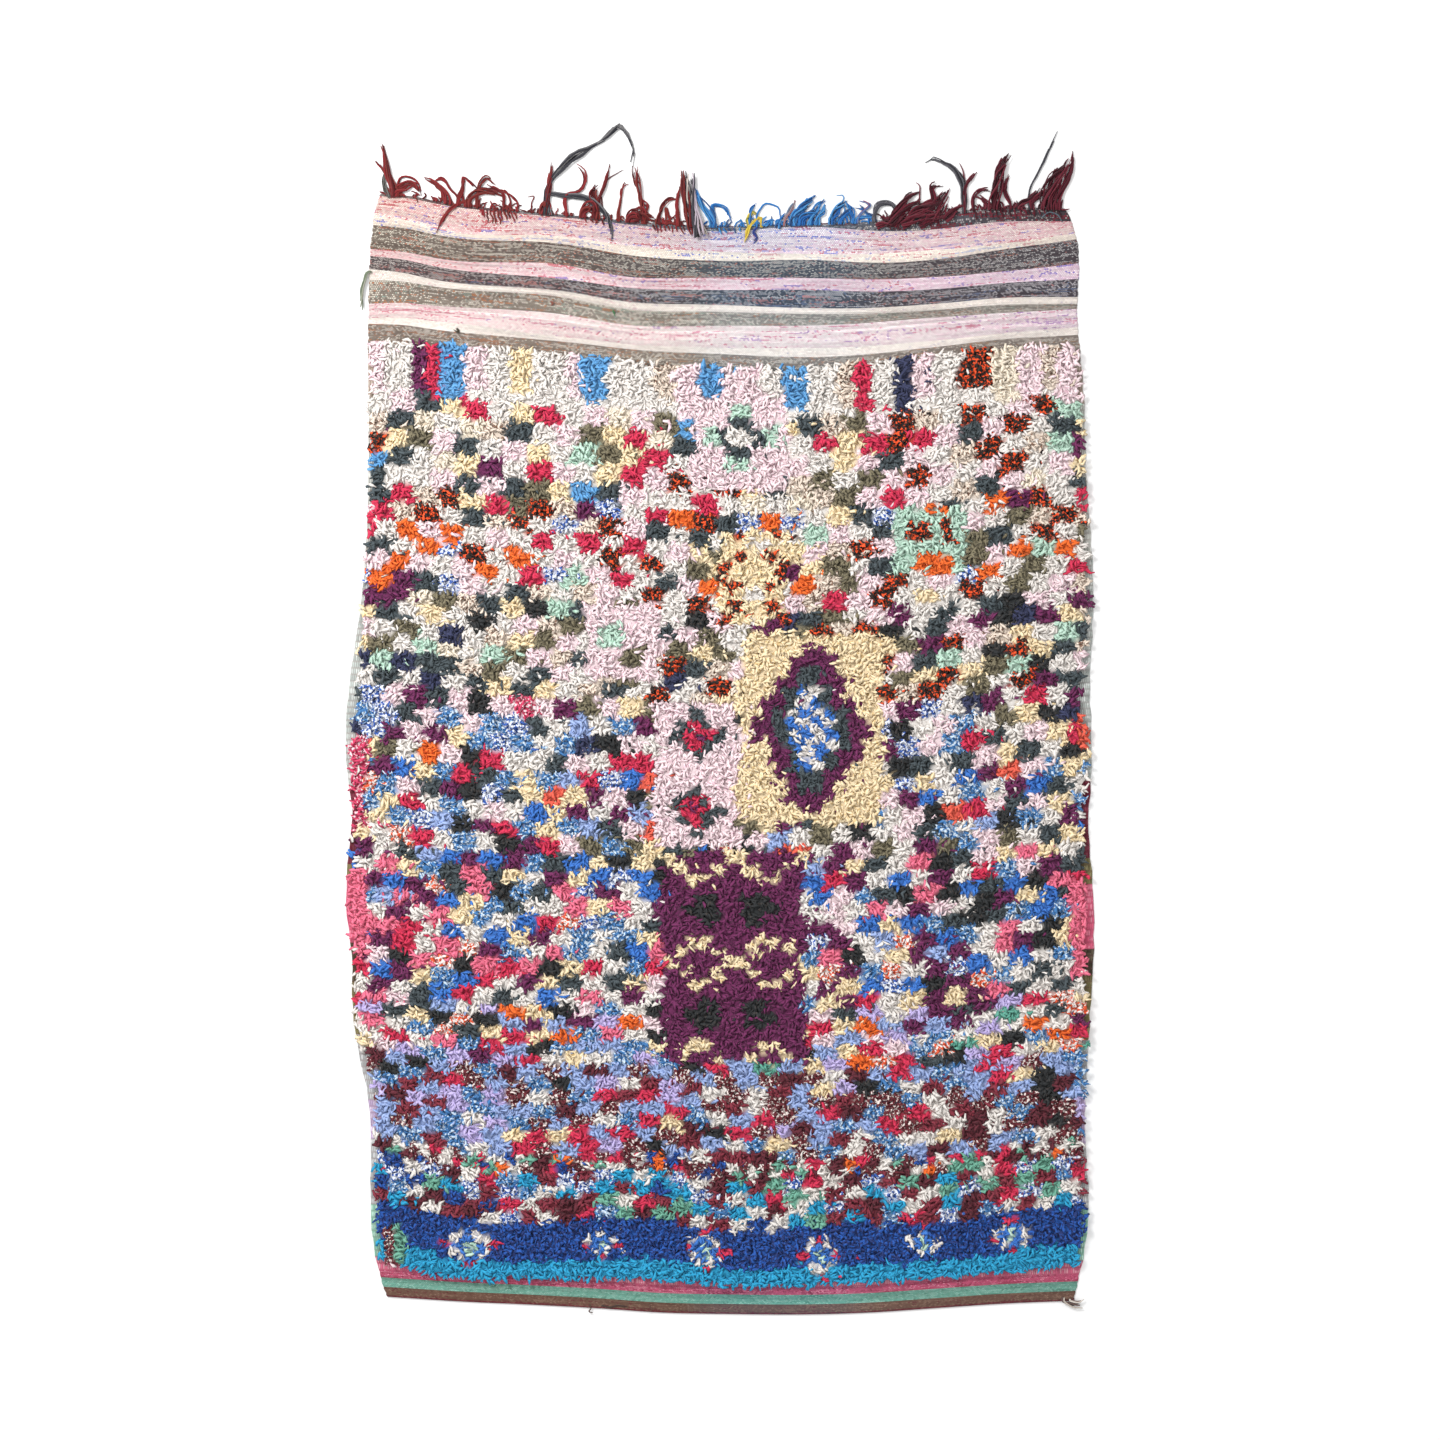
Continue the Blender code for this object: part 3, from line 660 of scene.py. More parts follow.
def blend(at, keys, colours):
    """Rows of colours blended between keys, at every place of a grid."""
    return np.stack([np.interp(at, keys, colours[:, i]) for i in range(4)], axis=-1)


def unit(vectors):
    """Vectors brought to the length of one."""
    return vectors / (np.linalg.norm(vectors, axis=-1, keepdims=True) + 1e-9)


def leftward(ahead):
    """The level direction square to another one, at its left."""
    return np.stack([-ahead[..., 1], ahead[..., 0]], axis=-1)


def run_along(places):
    """How far along its line each place lies."""
    gaps = np.linalg.norm(np.diff(places, axis=-2), axis=-1)
    return np.concatenate([np.zeros_like(gaps[..., :1]), np.cumsum(gaps, axis=-1)], axis=-1)


def smooth_through(at, keys, values):
    """A smooth curve through the values: cubic between keys, each key's slope from its neighbours."""
    keys, values = np.asarray(keys, float), np.asarray(values, float)
    at = np.clip(at, keys[0], keys[-1])
    slopes = np.gradient(values, keys)
    i = np.clip(np.searchsorted(keys, at) - 1, 0, len(keys) - 2)
    width = keys[i + 1] - keys[i]
    u = (at - keys[i]) / width
    return (values[i] * (2 * u**3 - 3 * u**2 + 1) + slopes[i] * width * (u**3 - 2 * u**2 + u)
            + values[i + 1] * (3 * u**2 - 2 * u**3) + slopes[i + 1] * width * (u**3 - u**2))


def rim_of(node):
    """The rim of a solid's flat underside as four lines of points, in millimetres.

    The underside's points are ordered by their bearing from its middle and cut at its corners, which
    lie furthest out along the four diagonals.
    """
    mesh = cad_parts[node].data
    points = np.empty(len(mesh.vertices) * 3)
    mesh.vertices.foreach_get("co", points)
    points = points.reshape(-1, 3) / MM
    under = points[points[:, 2] < points[:, 2].min() + 0.1, :2]
    under = np.unique(np.round(under, 2), axis=0)
    aside = under - (under.min(axis=0) + under.max(axis=0)) / 2
    under = under[np.argsort(np.arctan2(aside[:, 1], aside[:, 0]))]
    under = np.roll(under, -np.argmax(-under[:, 0] - 2 * under[:, 1]), axis=0)
    low_end, right_end, high_end = (np.argmax(across * under[:, 0] + along * under[:, 1])
                                    for across, along in ((1, -2), (1, 2), (-1, 2)))
    return {
        "low": under[:low_end + 1],
        "right": under[low_end:right_end + 1],
        "high": under[right_end:high_end + 1][::-1],
        "left": np.concatenate([under[high_end:], under[:1]])[::-1],
    }


def end_line(line, share):
    """Along of an end of the rim, where share runs from its left corner to its right one."""
    own = (line[:, 0] - line[0, 0]) / (line[-1, 0] - line[0, 0])
    return smooth_through(share, own, line[:, 1])


def across_rim(rim, share, along):
    """Across of a place: share of the way from the left side to the right one."""
    left, right = (smooth_through(along, rim[side][:, 1], rim[side][:, 0]) for side in ("left", "right"))
    return left + (right - left) * share


def edge_over(edge, across):
    """Along of the fringed edge at some place across, on the scale of the tables."""
    return np.interp(across + MIDDLE[0], edge[:, 0], edge[:, 1]) - MIDDLE[1]


def corners_of(face_sets):
    """The points of sets of faces, corner by corner."""
    return np.concatenate([faces.ravel() for faces in face_sets])


def add_piece(name, points, face_sets, material, smooth=True):
    """A mesh object at the origin, from points in millimetres and sets of equal-sided faces.

    smooth is one value, or one for each face.
    """
    corners = corners_of(face_sets).astype(np.int32)
    sizes = np.concatenate([np.full(len(faces), faces.shape[1]) for faces in face_sets])
    mesh = bpy.data.meshes.new(name)
    mesh.vertices.add(len(points))
    mesh.vertices.foreach_set("co", (points * MM).astype(np.float32).ravel())
    mesh.loops.add(len(corners))
    mesh.loops.foreach_set("vertex_index", corners)
    mesh.polygons.add(len(sizes))
    mesh.polygons.foreach_set("loop_start", (np.cumsum(sizes) - sizes).astype(np.int32))
    mesh.update(calc_edges=True)
    mesh.polygons.foreach_set("use_smooth", np.array(np.broadcast_to(smooth, len(sizes))))
    mesh.materials.append(material)
    obj = bpy.data.objects.new(name, mesh)
    bpy.context.scene.collection.objects.link(obj)
    return obj


def paint(obj, name, values, domain="POINT"):
    """Gives the mesh a colour, or a plain number, for each point or corner, as an attribute."""
    kind, field = ("FLOAT", "value") if values.ndim == 1 else ("FLOAT_COLOR", "color")
    layer = obj.data.attributes.new(name, kind, domain)
    layer.data.foreach_set(field, values.astype(np.float32).ravel())


def lay_map(obj, name, places):
    """Gives the mesh a UV map from a place for each corner."""
    layer = obj.data.uv_layers.new(name=name)
    layer.data.foreach_set("uv", np.asarray(places, np.float32).ravel())


def carry(paths, half_width, half_thick, outline, roll=0.0):
    """Points of closed strips: an outline carried along each path.

    paths is (strips, steps, 3). At each step the outline's first number runs level and square to the
    path, times the half width, and its second one upwards, times the half thickness, both turned
    about the path by the roll.
    """
    ahead = unit(np.gradient(paths, axis=1))
    level = unit(np.concatenate([leftward(ahead), np.zeros_like(ahead[..., :1])], axis=-1))
    upward = np.cross(ahead, level)
    turn, width, thick = (np.broadcast_to(grid, paths.shape[:2])[..., None]
                          for grid in (roll, half_width, half_thick))
    side = (level * np.cos(turn) + upward * np.sin(turn)) * width
    rise = (upward * np.cos(turn) - level * np.sin(turn)) * thick
    outline = np.asarray(outline, float)
    return (paths[:, :, None, :] + side[:, :, None, :] * outline[:, 0, None]
            + rise[:, :, None, :] * outline[:, 1, None])


def strip_faces(count, steps, sides):
    """Faces of closed strips: quads between neighbouring outlines, and a cap at each end."""
    first = np.arange(count)[:, None, None] * steps * sides + np.arange(steps - 1)[None, :, None] * sides
    here = np.arange(sides)
    after = (here + 1) % sides
    walls = np.stack([first + here, first + after, first + sides + after, first + sides + here], axis=-1)
    start = np.arange(count)[:, None] * steps * sides
    caps = np.stack([start + here[::-1], start + (steps - 1) * sides + here], axis=1)
    return walls.reshape(-1, 4), caps.reshape(-1, sides)


def wall_map(around, up):
    """A UV place for each corner of strips' walls, from the bounds of their sides and of their steps."""
    u = np.stack([around[:-1], around[1:], around[1:], around[:-1]], axis=-1)
    v = np.stack([up[..., :-1], up[..., :-1], up[..., 1:], up[..., 1:]], axis=-1)
    return np.stack(np.broadcast_arrays(u, v[..., None, :]), axis=-1).reshape(-1, 2)


def strip_map(count, steps, sides):
    """A UV place for every corner of closed strips: one square cell for each strip.

    In its cell a strip lies unrolled, sides beside each other and steps upwards, and the caps take a
    thin line at the bottom and the top.
    """
    cells = math.ceil(math.sqrt(count))
    cell = np.stack([np.arange(count) % cells, np.arange(count) // cells], axis=-1)[:, None, :]
    margin, body, cap = 0.1, 0.8, 0.03
    walls = wall_map(margin + body * np.arange(sides + 1) / sides,
                     margin + body * (0.1 + 0.8 * np.arange(steps) / (steps - 1)))
    turn = np.arange(sides) / sides * 2 * math.pi
    caps = [np.stack([0.5 + 0.3 * np.cos(around), middle + cap * np.sin(around)], axis=-1)
            for around, middle in ((turn[::-1], margin + cap), (turn, margin + body - cap))]
    parts = (walls, np.concatenate(caps))
    return np.concatenate([(cell + places).reshape(-1, 2) / cells for places in parts])


def new_material(name):
    """An empty node material with its Principled shader, as (material, tree, shader)."""
    material = bpy.data.materials.new(name)
    material.use_nodes = True
    tree = material.node_tree
    return material, tree, tree.nodes["Principled BSDF"]


def add(tree, kind, inputs=None, **settings):
    """Adds a node with its settings and returns its outputs. An input is a value or another's output."""
    node = tree.nodes.new(f"ShaderNode{kind}")
    for key, value in settings.items():
        setattr(node, key, value)
    for key, value in (inputs or {}).items():
        if isinstance(value, bpy.types.NodeSocket):
            tree.links.new(value, node.inputs[key])
        else:
            node.inputs[key].default_value = value
    return node.outputs


def add_maths(tree, operation, *values, **settings):
    """A sum of one to three values."""
    return add(tree, "Math", dict(enumerate(values)), operation=operation, **settings)[0]


def add_range(tree, value, low, high, to_low, to_high):
    """A value that runs from low to high, brought to another range."""
    return add(tree, "MapRange", {
        "Value": value, "From Min": low, "From Max": high, "To Min": to_low, "To Max": to_high})[0]


def add_mix(tree, share, first, second):
    """Two colours mixed: the first where share is 0, the second where it is 1."""
    return add(tree, "Mix", {"Factor": share, 6: first, 7: second}, data_type="RGBA")[2]


def add_shade(tree, colour, factor):
    """A colour times a factor."""
    return add(tree, "VectorMath", {0: colour, "Scale": factor}, operation="SCALE")[0]


def finish_shader(tree, shader, colour, height, strength, rise, **finish):
    """Gives a shader its colour, its bumps, which stand up by rise in metres, and its finish."""
    bump = add(tree, "Bump", {"Height": height, "Strength": strength, "Distance": rise})[0]
    tree.links.new(colour, shader.inputs["Base Color"])
    tree.links.new(bump, shader.inputs["Normal"])
    for key, value in finish.items():
        shader.inputs[SHADER_INPUTS[key]].default_value = value


def rag_cotton():
    """Cut cotton and jersey rags, washed and crumpled: matt, plain or printed, a little fuzzy, each
    strip its own tone, with painted shade down at its knot and in its creases."""
    material, tree, shader = new_material("cut_cotton_rags")
    rag, print_, lie = (add(tree, "Attribute", attribute_name=name) for name in ("rag", "print", "lie"))
    place = add(tree, "TexCoord")["Object"]
    # Print motifs of about 7 mm, shifted from rag to rag.
    moved = add(tree, "VectorMath", {0: place, 1: print_["Color"]}, operation="ADD")[0]
    motif = add(tree, "TexNoise", {"Vector": moved, "Scale": PRINT_SCALE, "Detail": 1.0})[0]
    share = add_range(tree, rag["Alpha"], 0.0, 1.0, 0.72, 0.28)
    over = add_maths(tree, "SUBTRACT", motif, share)
    mask = add_maths(tree, "MULTIPLY_ADD", over, 22.0, 0.5, use_clamp=True)
    printed = add_mix(tree, mask, rag["Color"], print_["Color"])
    # Each rag's own tone, painted shade down at its knot, and painted shade in creases about 2 mm apart.
    tone = add_range(tree, print_["Alpha"], 0.0, 1.0, *RAG_TONES)
    depth = add_range(tree, lie["Fac"], 0.0, 0.55, *KNOT_PAINTED_SHADES)
    crease = add(tree, "TexNoise", {"Vector": place, "Scale": CREASE_SCALE, "Detail": 2.0})[0]
    crease_shade = add_range(tree, crease, 0.3, 0.7, *CREASE_PAINTED_SHADES)
    shade = add_maths(tree, "MULTIPLY", add_maths(tree, "MULTIPLY", tone, depth), crease_shade)
    finish_shader(tree, shader, add_shade(tree, printed, shade), crease, 0.5, 0.0008,
                  rough=0.92, shine=0.12, fuzz=0.02)
    return material


def flat_weave():
    """Weft-faced flat weave of wool and re-spun rag yarn: matt rows of oval stitches, salt-and-pepper
    where two yarns are twisted together, with the warp's own colours in the gaps where it is bare, and
    elsewhere the weft painted darker in the gaps, as shade."""
    material, tree, shader = new_material("weft_faced_weave")
    weft, fleck, accent, warp_and_gap_shade = (add(tree, "Attribute", attribute_name=name)
                                 for name in ("weft", "fleck", "accent", "warp_and_gap_shade"))
    rows = add(tree, "UVMap", uv_map="weft_rows")[0]
    # A stitch is an oval hump. Every second row is shifted by half a stitch.
    counts = (1 / (STITCH[0] * MM), 1 / (STITCH[1] * MM), 0.0)
    counted = add(tree, "VectorMath", {0: rows, 1: counts}, operation="MULTIPLY")[0]
    place = add(tree, "SeparateXYZ", {0: counted})
    row = add_maths(tree, "FLOOR", place[1])
    slid = add_maths(tree, "MULTIPLY_ADD", row, 0.5, place[0])
    stitch = add_maths(tree, "FLOOR", slid)
    waves = []
    for count in (slid, place[1]):
        wave = add_maths(tree, "SINE", add_maths(tree, "MULTIPLY", count, math.pi))
        waves.append(add_maths(tree, "ABSOLUTE", wave))
    hump = add_maths(tree, "MULTIPLY", *waves)
    # Each stitch draws its yarn and its tone by chance.
    own = add(tree, "CombineXYZ", {0: stitch, 1: row})[0]
    chance = add(tree, "TexWhiteNoise", {"Vector": own}, noise_dimensions="2D")["Color"]
    picks = add(tree, "SeparateColor", {0: chance})
    # Streaks about 90 mm long and a row or so tall, where flecks or accents gather.
    runs = []
    for shift in ((0.0, 0.0, 0.0), (7.3, 2.9, 0.0)):
        drawn = add(tree, "Mapping", {"Vector": rows, "Location": shift, "Scale": STREAK_SCALE})[0]
        runs.append(add(tree, "TexNoise", {"Vector": drawn, "Scale": 1.0, "Detail": 1.5})[0])
    limit = add_maths(tree, "ADD", weft["Alpha"], add_range(tree, runs[0], 0.3, 0.7, -0.5, 0.5))
    spots = add_maths(tree, "MULTIPLY", accent["Alpha"], add_range(tree, runs[1], 0.44, 0.7, 0.15, 5.0))
    yarn = weft["Color"]
    for pick, most, other in ((picks[0], limit, fleck), (picks[1], spots, accent)):
        yarn = add_mix(tree, add_maths(tree, "LESS_THAN", pick, most), yarn, other["Color"])
    toned = add_shade(tree, yarn, add_range(tree, picks[2], 0.0, 1.0, *STITCH_TONES))
    # Between the stitches the gap colour shows: the warp's own where it is bare, elsewhere painted shade.
    cover = add_range(tree, hump, 0.1, 0.6, 0.0, 1.0)
    finish_shader(tree, shader, add_mix(tree, cover, warp_and_gap_shade["Color"], toned), hump, 0.7, 0.0012,
                  rough=0.95, shine=0.15, fuzz=0.05)
    return material


def wool_yarn():
    """Hand-spun two-ply wool: matt and hairy, with a slanting twist about 4 mm long, its grooves painted
    darker as shade.
    """
    material, tree, shader = new_material("two_ply_wool")
    yarn = add(tree, "Attribute", attribute_name="yarn")["Color"]
    twist = add(tree, "UVMap", uv_map="twist")[0]
    ply = add(tree, "TexWave", {"Vector": twist, "Scale": 1.0, "Distortion": 0.6, "Detail": 1.0},
              wave_type="BANDS", bands_direction="DIAGONAL")["Fac"]
    # The ply's grooves are painted darker, as shade, where the twist's bump sinks in.
    shade = add_range(tree, ply, 0.0, 1.0, *PLY_GROOVE_SHADES)
    finish_shader(tree, shader, add_shade(tree, yarn, shade), ply, 0.6, 0.0006,
                  rough=0.93, shine=0.2, fuzz=0.15)
    return material


def cloth_rows(edge, hem, across):
    """Along of every weft row drawn, from hem to fringe, and each row of faces' band.

    The hem's rows lie at even heights over the hem, the striped end's at even depths within each
    band, and the covered ones evenly between them. Returns (rows, bands), where a band is the table
    it is in and its number there.
    """
    pitch = STITCH[1] * ROWS_TO_A_FACE
    heights = (0, *(band[0] for band in HEM_BANDS))
    depths = [np.zeros_like(across), *(smooth_through(across, STATIONS, band[0]) for band in BANDS)]
    layers = [("hem", number, hem + heights[number], hem + heights[number + 1])
              for number in range(len(HEM_BANDS))]
    layers.append(("ground", 0, hem + heights[-1], edge - depths[-1]))
    layers += [("striped", number, edge - depths[number + 1], edge - depths[number])
               for number in range(len(BANDS) - 1, -1, -1)]
    rows, bands = [hem], []
    for table, number, low, high in layers:
        drawn = max(1, round(float(np.mean(high - low)) / pitch))
        count = COVERED_ROWS if table == "ground" else drawn
        rows += [low + (high - low) * i / count for i in range(1, count + 1)]
        bands += [(table, number)] * count
    return np.array(rows), bands


def run_noise(chance, rows, columns, reach):
    """Noise of about one that runs on along each row: sums of random numbers over reach columns."""
    raw = chance.normal(0, 1, (rows, columns + reach))
    raw[1:] = (raw[1:] + 0.7 * raw[:-1]) / math.sqrt(1.49)
    total = np.cumsum(raw, axis=1)
    return (total[:, reach:] - total[:, :-reach]) / math.sqrt(reach)


def cloth_yarns(bands, share, across, along, depth):
    """Weft, fleck, accent and gap colours of every face of the cloth.

    The weft's alpha is the flecks' share of its stitches and the accent's alpha the accents'. Both
    wander along a row and differ from row to row. The gap colour is the warp's own where the warp is
    bare, and elsewhere the weft darkened as painted shade. The warp shows less away from the fringe.
    """
    chance = np.random.default_rng(CLOTH_SEED)
    rows, columns = share.shape
    weft, fleck, accent = np.empty((3, rows, columns, 4))
    change = run_noise(chance, rows, columns, 4)
    begins, *grounds = zip(*GROUND)
    grounds = [linears(colours) for colours in grounds]
    for i, (table, number) in enumerate(bands):
        if table == "ground":
            which = np.clip(np.searchsorted(begins, along[i] - MIDDLE[1]) - 1, 0, len(GROUND) - 1)
            weft[i], fleck[i] = (colours[which] for colours in grounds)
            accent[i] = fleck[i]
            weft[i, :, 3], accent[i, :, 3] = GROUND_FLECKS
        elif table == "hem":
            _, own, flecks, amount, spots = HEM_BANDS[number]
            weft[i], fleck[i], accent[i] = linear(own, amount), linear(flecks), linear(spots, HEM_ACCENTS)
        else:
            _, own, flecks, amount, spots, spots_share = BANDS[number]
            weft[i], fleck[i] = (blend(share[i], ACROSS, linears(group)) for group in (own, flecks))
            # The accents change from one run to the next.
            which = np.clip(np.rint(2 * share[i] + 0.7 * change[i]), 0, 2).astype(int)
            accent[i] = linears(spots)[which]
            weft[i, :, 3], accent[i, :, 3] = amount, spots_share
    wander, streak, fade = (run_noise(chance, rows, columns, reach) for reach in (5, 4, 12))
    row_fleck, row_spot, row_tone = (chance.normal(0, 1, (rows, 1)) for _ in range(3))
    weft[..., 3] += FLECK_WANDER[0] * wander + FLECK_WANDER[1] * row_fleck
    accent[..., 3] *= 0.8 + ACCENT_WANDER[0] * streak + ACCENT_WANDER[1] * row_spot
    weft[..., 3], accent[..., 3] = np.clip(weft[..., 3], 0.03, 0.95), np.clip(accent[..., 3], 0, 0.75)
    tone = WOOL_DEPTH * (1 + TONE_WANDER[0] * fade + TONE_WANDER[1] * row_tone)
    for colours in (weft, fleck, accent):
        colours[..., :3] *= tone[..., None]
    places, warp_colours = zip(*WARPS)
    own_warp = WOOL_DEPTH * blend(across - MIDDLE[0], places, linears(warp_colours))
    bare = (BARE_SHARE[0] + BARE_SHARE[1] * np.clip(1 - depth / WARP_BARE, 0, 1))[..., None]
    heading = np.array([band == ("striped", 0) for band in bands])
    bare = np.where(heading[:, None, None], HEADING_BARE, bare)
    # Where the warp is hidden, the gaps take the weft darkened: painted shade.
    warp_and_gap_shade = GAP_PAINTED_SHADE * weft * (1 - bare) + own_warp * bare
    return weft, fleck, accent, warp_and_gap_shade


def cloth_lift(across, along, depth, over_hem):
    """How far the cloth's top stands over its thickness: cockles, ripples and the rolled hem."""
    bare = np.clip(1 - depth / STRIPED_DEPTH, 0, 1) ** 0.5
    wave = [2 * math.pi / length for length in (*COCKLE_WAVES, *RIPPLE_WAVES)]
    cockle = np.sin(across * wave[0]) * np.cos(along * wave[1])
    ripple = np.sin(across * wave[2] + along * 0.01) * np.cos(along * wave[3] + across * 0.013)
    roll = np.clip(over_hem / 3, 0, 1) * np.clip((HEM_ROLL - over_hem) / 4, 0, 1)
    return COCKLE * bare * cockle + RIPPLE * bare * ripple + HEM_RISE * roll


def cloth_faces(rows, columns, ring):
    """Faces of the closed sheet: its rings' walls, and at each end a thin wall with a tip at each side.

    A ring has the top's points from left to right, and then the underside's back from right to left.
    """
    walls, _ = strip_faces(1, rows, ring)
    below = np.concatenate([[0], ring - np.arange(1, columns - 1), [columns - 1]])
    left = np.arange(1, columns - 2)
    wall = np.stack([left, below[left], below[left + 1], left + 1], axis=-1)
    tips = np.array([[0, below[1], 1], [columns - 2, below[columns - 2], columns - 1]])
    far = (rows - 1) * ring
    return [walls, np.concatenate([wall, wall[:, ::-1] + far]), tips, tips[:, ::-1] + far]


def lay_cloth_maps(obj, points, face_sets, share, column_of):
    """The cloth's UV maps: weft rows in real metres, and one for baking with the top drawn large."""
    rows, ring = points.shape[:2]
    corners = corners_of(face_sets)
    own_row, own_share = corners // ring, share[column_of[corners % ring]]
    drawn = own_row * ROWS_TO_A_FACE * STITCH[1] * MM
    lay_map(obj, "weft_rows", np.stack([points[..., 0].ravel()[corners] * MM, drawn], axis=-1))
    is_end = np.arange(len(corners)) >= face_sets[0].size
    is_top = is_end | np.resize(np.repeat(np.arange(ring) < len(share) - 1, 4), len(corners))
    u = np.where(is_top, TOP_MAP[0] + TOP_MAP[1] * own_share, UNDER_MAP[0] + UNDER_MAP[1] * own_share)
    v = np.where(is_end, np.where(own_row == 0, 0.004, 0.996), np.linspace(0.01, 0.99, rows)[own_row])
    lay_map(obj, "OFBake", np.stack([u, v], axis=-1))


def woven_cloth(rim, material):
    """The flat-woven cloth as one closed sheet.

    Its top is a grid of two parameters, share across and row along, at the cloth's thickness plus its
    lift. Its underside is the same grid flat on the floor. Both thin to one line at the selvedges, as
    a quarter ellipse.
    """
    inner = np.linspace(0, 1, CLOTH_COLUMNS)[1:-1]
    width = rim["low"][-1, 0] - rim["low"][0, 0]
    inset, rounding = np.array(EDGE_ROUNDING).T
    share = np.concatenate([inset / width, inner, 1 - inset[::-1] / width])
    fullness = np.concatenate([rounding, np.ones(len(inner)), rounding[::-1]])
    edge, hem = end_line(rim["high"], share), end_line(rim["low"], share)
    along, bands = cloth_rows(edge, hem, across_rim(rim, share, edge))
    across = across_rim(rim, share, along)
    rows, columns = along.shape

    # Small scallops where each weft turns back at the selvedge.
    number = np.arange(rows)[:, None]
    near_left, near_right = (np.clip(1 - part * width / SCALLOP_REACH, 0, 1) for part in (share, 1 - share))
    scallop = SCALLOP_DEPTHS[0] * np.sin(number * 2.1) + SCALLOP_DEPTHS[1] * np.sin(along * 0.11)
    across = across - (near_left - near_right) * scallop

    depth = edge - along
    half = CLOTH_THICK * 0.5
    under = np.broadcast_to(half * (1 - fullness), along.shape)
    top = half + (half + cloth_lift(across, along, depth, along - hem)) * fullness
    upper, lower = (np.stack([across, along, height], axis=-1) for height in (top, under))
    points = np.concatenate([upper, lower[:, -2:0:-1]], axis=1)
    ring = points.shape[1]
    column_of = np.concatenate([np.arange(columns), np.arange(columns - 2, 0, -1)])
    face_sets = cloth_faces(rows, columns, ring)
    obj = add_piece("woven_cloth", points.reshape(-1, 3), face_sets, material)
    lay_cloth_maps(obj, points, face_sets, share, column_of)

    # Yarn colours, one for each face of the grid, the same above and below. The ends take the first.
    middle_share = (share[column_of] + share[np.roll(column_of, -1)]) / 2
    middles = [(grid[:-1] + grid[1:])[:, column_of] / 2 for grid in (across, along, depth)]
    yarns = cloth_yarns(bands, np.broadcast_to(middle_share, (rows - 1, ring)), *middles)
    for name, colours in zip(("weft", "fleck", "accent", "warp_and_gap_shade"), yarns):
        each = np.repeat(colours.reshape(-1, 4), 4, axis=0)
        ends = np.repeat(each[:1], len(obj.data.loops) - len(each), axis=0)
        paint(obj, name, np.concatenate([each, ends]), "CORNER")
    return obj


def pick_checks(chance, zone, left, right):
    """The rag of every check of a zone, row by row: drawn by weight, unlike its two neighbours."""
    low, high, width, height, weights = zone
    names = list(weights)
    table = np.array([np.broadcast_to(weight, 3) for weight in weights.values()], float)
    rows = max(1, round((high - low) / height))
    count = int((right - left) / width) + 4
    checks = np.empty((rows, count), int)
    pale = np.isin(names, PALE_RAGS)
    for row in range(rows):
        for i in range(count):
            odds = np.array([np.interp(i / (count - 1), ACROSS, line) for line in table])
            odds[pale == bool((row + i) % 2)] *= TURN_TAKING
            for other in ((row, i - 1), (row - 1, i)):
                if min(other) >= 0 and len(names) > 1:
                    odds[checks[other]] *= LIKE_NEIGHBOUR
            checks[row, i] = chance.choice(len(names), p=odds / odds.sum())
    return np.array([RAG_NUMBERS[name] for name in names])[checks]


def charted(across, along, field, chart):
    """The rag's number at places counted from a field's lower left corner, read from its chart."""
    keys = {".": field, **CHART_RAGS}
    table = np.array([[RAG_NUMBERS[keys[letter]] for letter in line] for line in chart[::-1]])
    column = np.floor(across / FIELD_STEP[0]).astype(int) % table.shape[1]
    row = np.floor(along / FIELD_STEP[1]).astype(int) % table.shape[0]
    return table[row, column]


def choose_rags(chance, across, along, height):
    """The number of each knot's rag, with where the knot lies in its check, from -1 to 1 both ways.

    height is the knot's height over the pile's lower rim, on the scale of the whole pile's length.
    """
    rag = np.zeros(across.shape, int)
    from_middle = np.zeros((*across.shape, 2))
    # Uneven and slowly winding borders between the checks.
    x = across + chance.normal(0, CHECK_STRAY[0], across.shape)
    x = x + BORDER_SWAY[0] * np.sin(along / BORDER_WAVES[0])
    v = height + chance.normal(0, CHECK_STRAY[1], across.shape)
    v = np.maximum(v + BORDER_SWAY[1] * np.sin(across / BORDER_WAVES[1] + 1.3), 0)
    left, right = across.min() - CHECKS_BEYOND, across.max() + CHECKS_BEYOND
    for zone in ZONES:
        low, high, width = zone[:3]
        checks = pick_checks(chance, zone, left, right)
        shifts = chance.uniform(0, width, len(checks))
        inside = (v >= low) & (v < high)
        level = (v[inside] - low) / (high - low) * len(checks)
        rows = np.minimum(level.astype(int), len(checks) - 1)
        at = (x[inside] - left + shifts[rows]) / width
        cells = np.clip(at.astype(int), 0, checks.shape[1] - 1)
        rag[inside] = checks[rows, cells]
        from_middle[inside] = np.stack([at - cells, level - rows], axis=-1) * 2 - 1

    # Tall columns hang from the upper rim.
    begins, lengths, names = zip(*TALL_COLUMNS)
    which = np.clip(np.searchsorted(begins, x - MIDDLE[0]) - 1, 0, len(begins) - 1)
    tall = PILE_LENGTH - height < np.array(lengths)[which]
    rag[tall] = np.array([RAG_NUMBERS[name] for name in names])[which[tall]]

    for low_x, high_x, low_y, high_y, field, chart in (*FIELDS, *((*patch, (".",)) for patch in PATCHES)):
        inside = (x > low_x) & (x < high_x) & (along > low_y) & (along < high_y)
        rag[inside] = charted(x[inside] - low_x, along[inside] - low_y, field, chart)

    for middle, over, wide, tall_by in ROSETTES:
        dx, dy = (x - middle) / (wide / 2), (height - over) / (tall_by / 2)
        away = np.abs(dx) + np.abs(dy)
        ring = (away > ROSETTE_RING[0]) & (away < ROSETTE_RING[1])
        rag[ring] = RAG_NUMBERS["off_white"]
        rag[ring & (np.abs(np.abs(dx) - np.abs(dy)) > ROSETTE_POINT)] = RAG_NUMBERS["raspberry"]
        rag[away <= ROSETTE_RING[0]] = RAG_NUMBERS["cobalt"]
        rag[(away < ROSETTE_HEART[0]) & (np.abs(dx) < ROSETTE_HEART[1])] = RAG_NUMBERS["mint"]
    return rag, from_middle


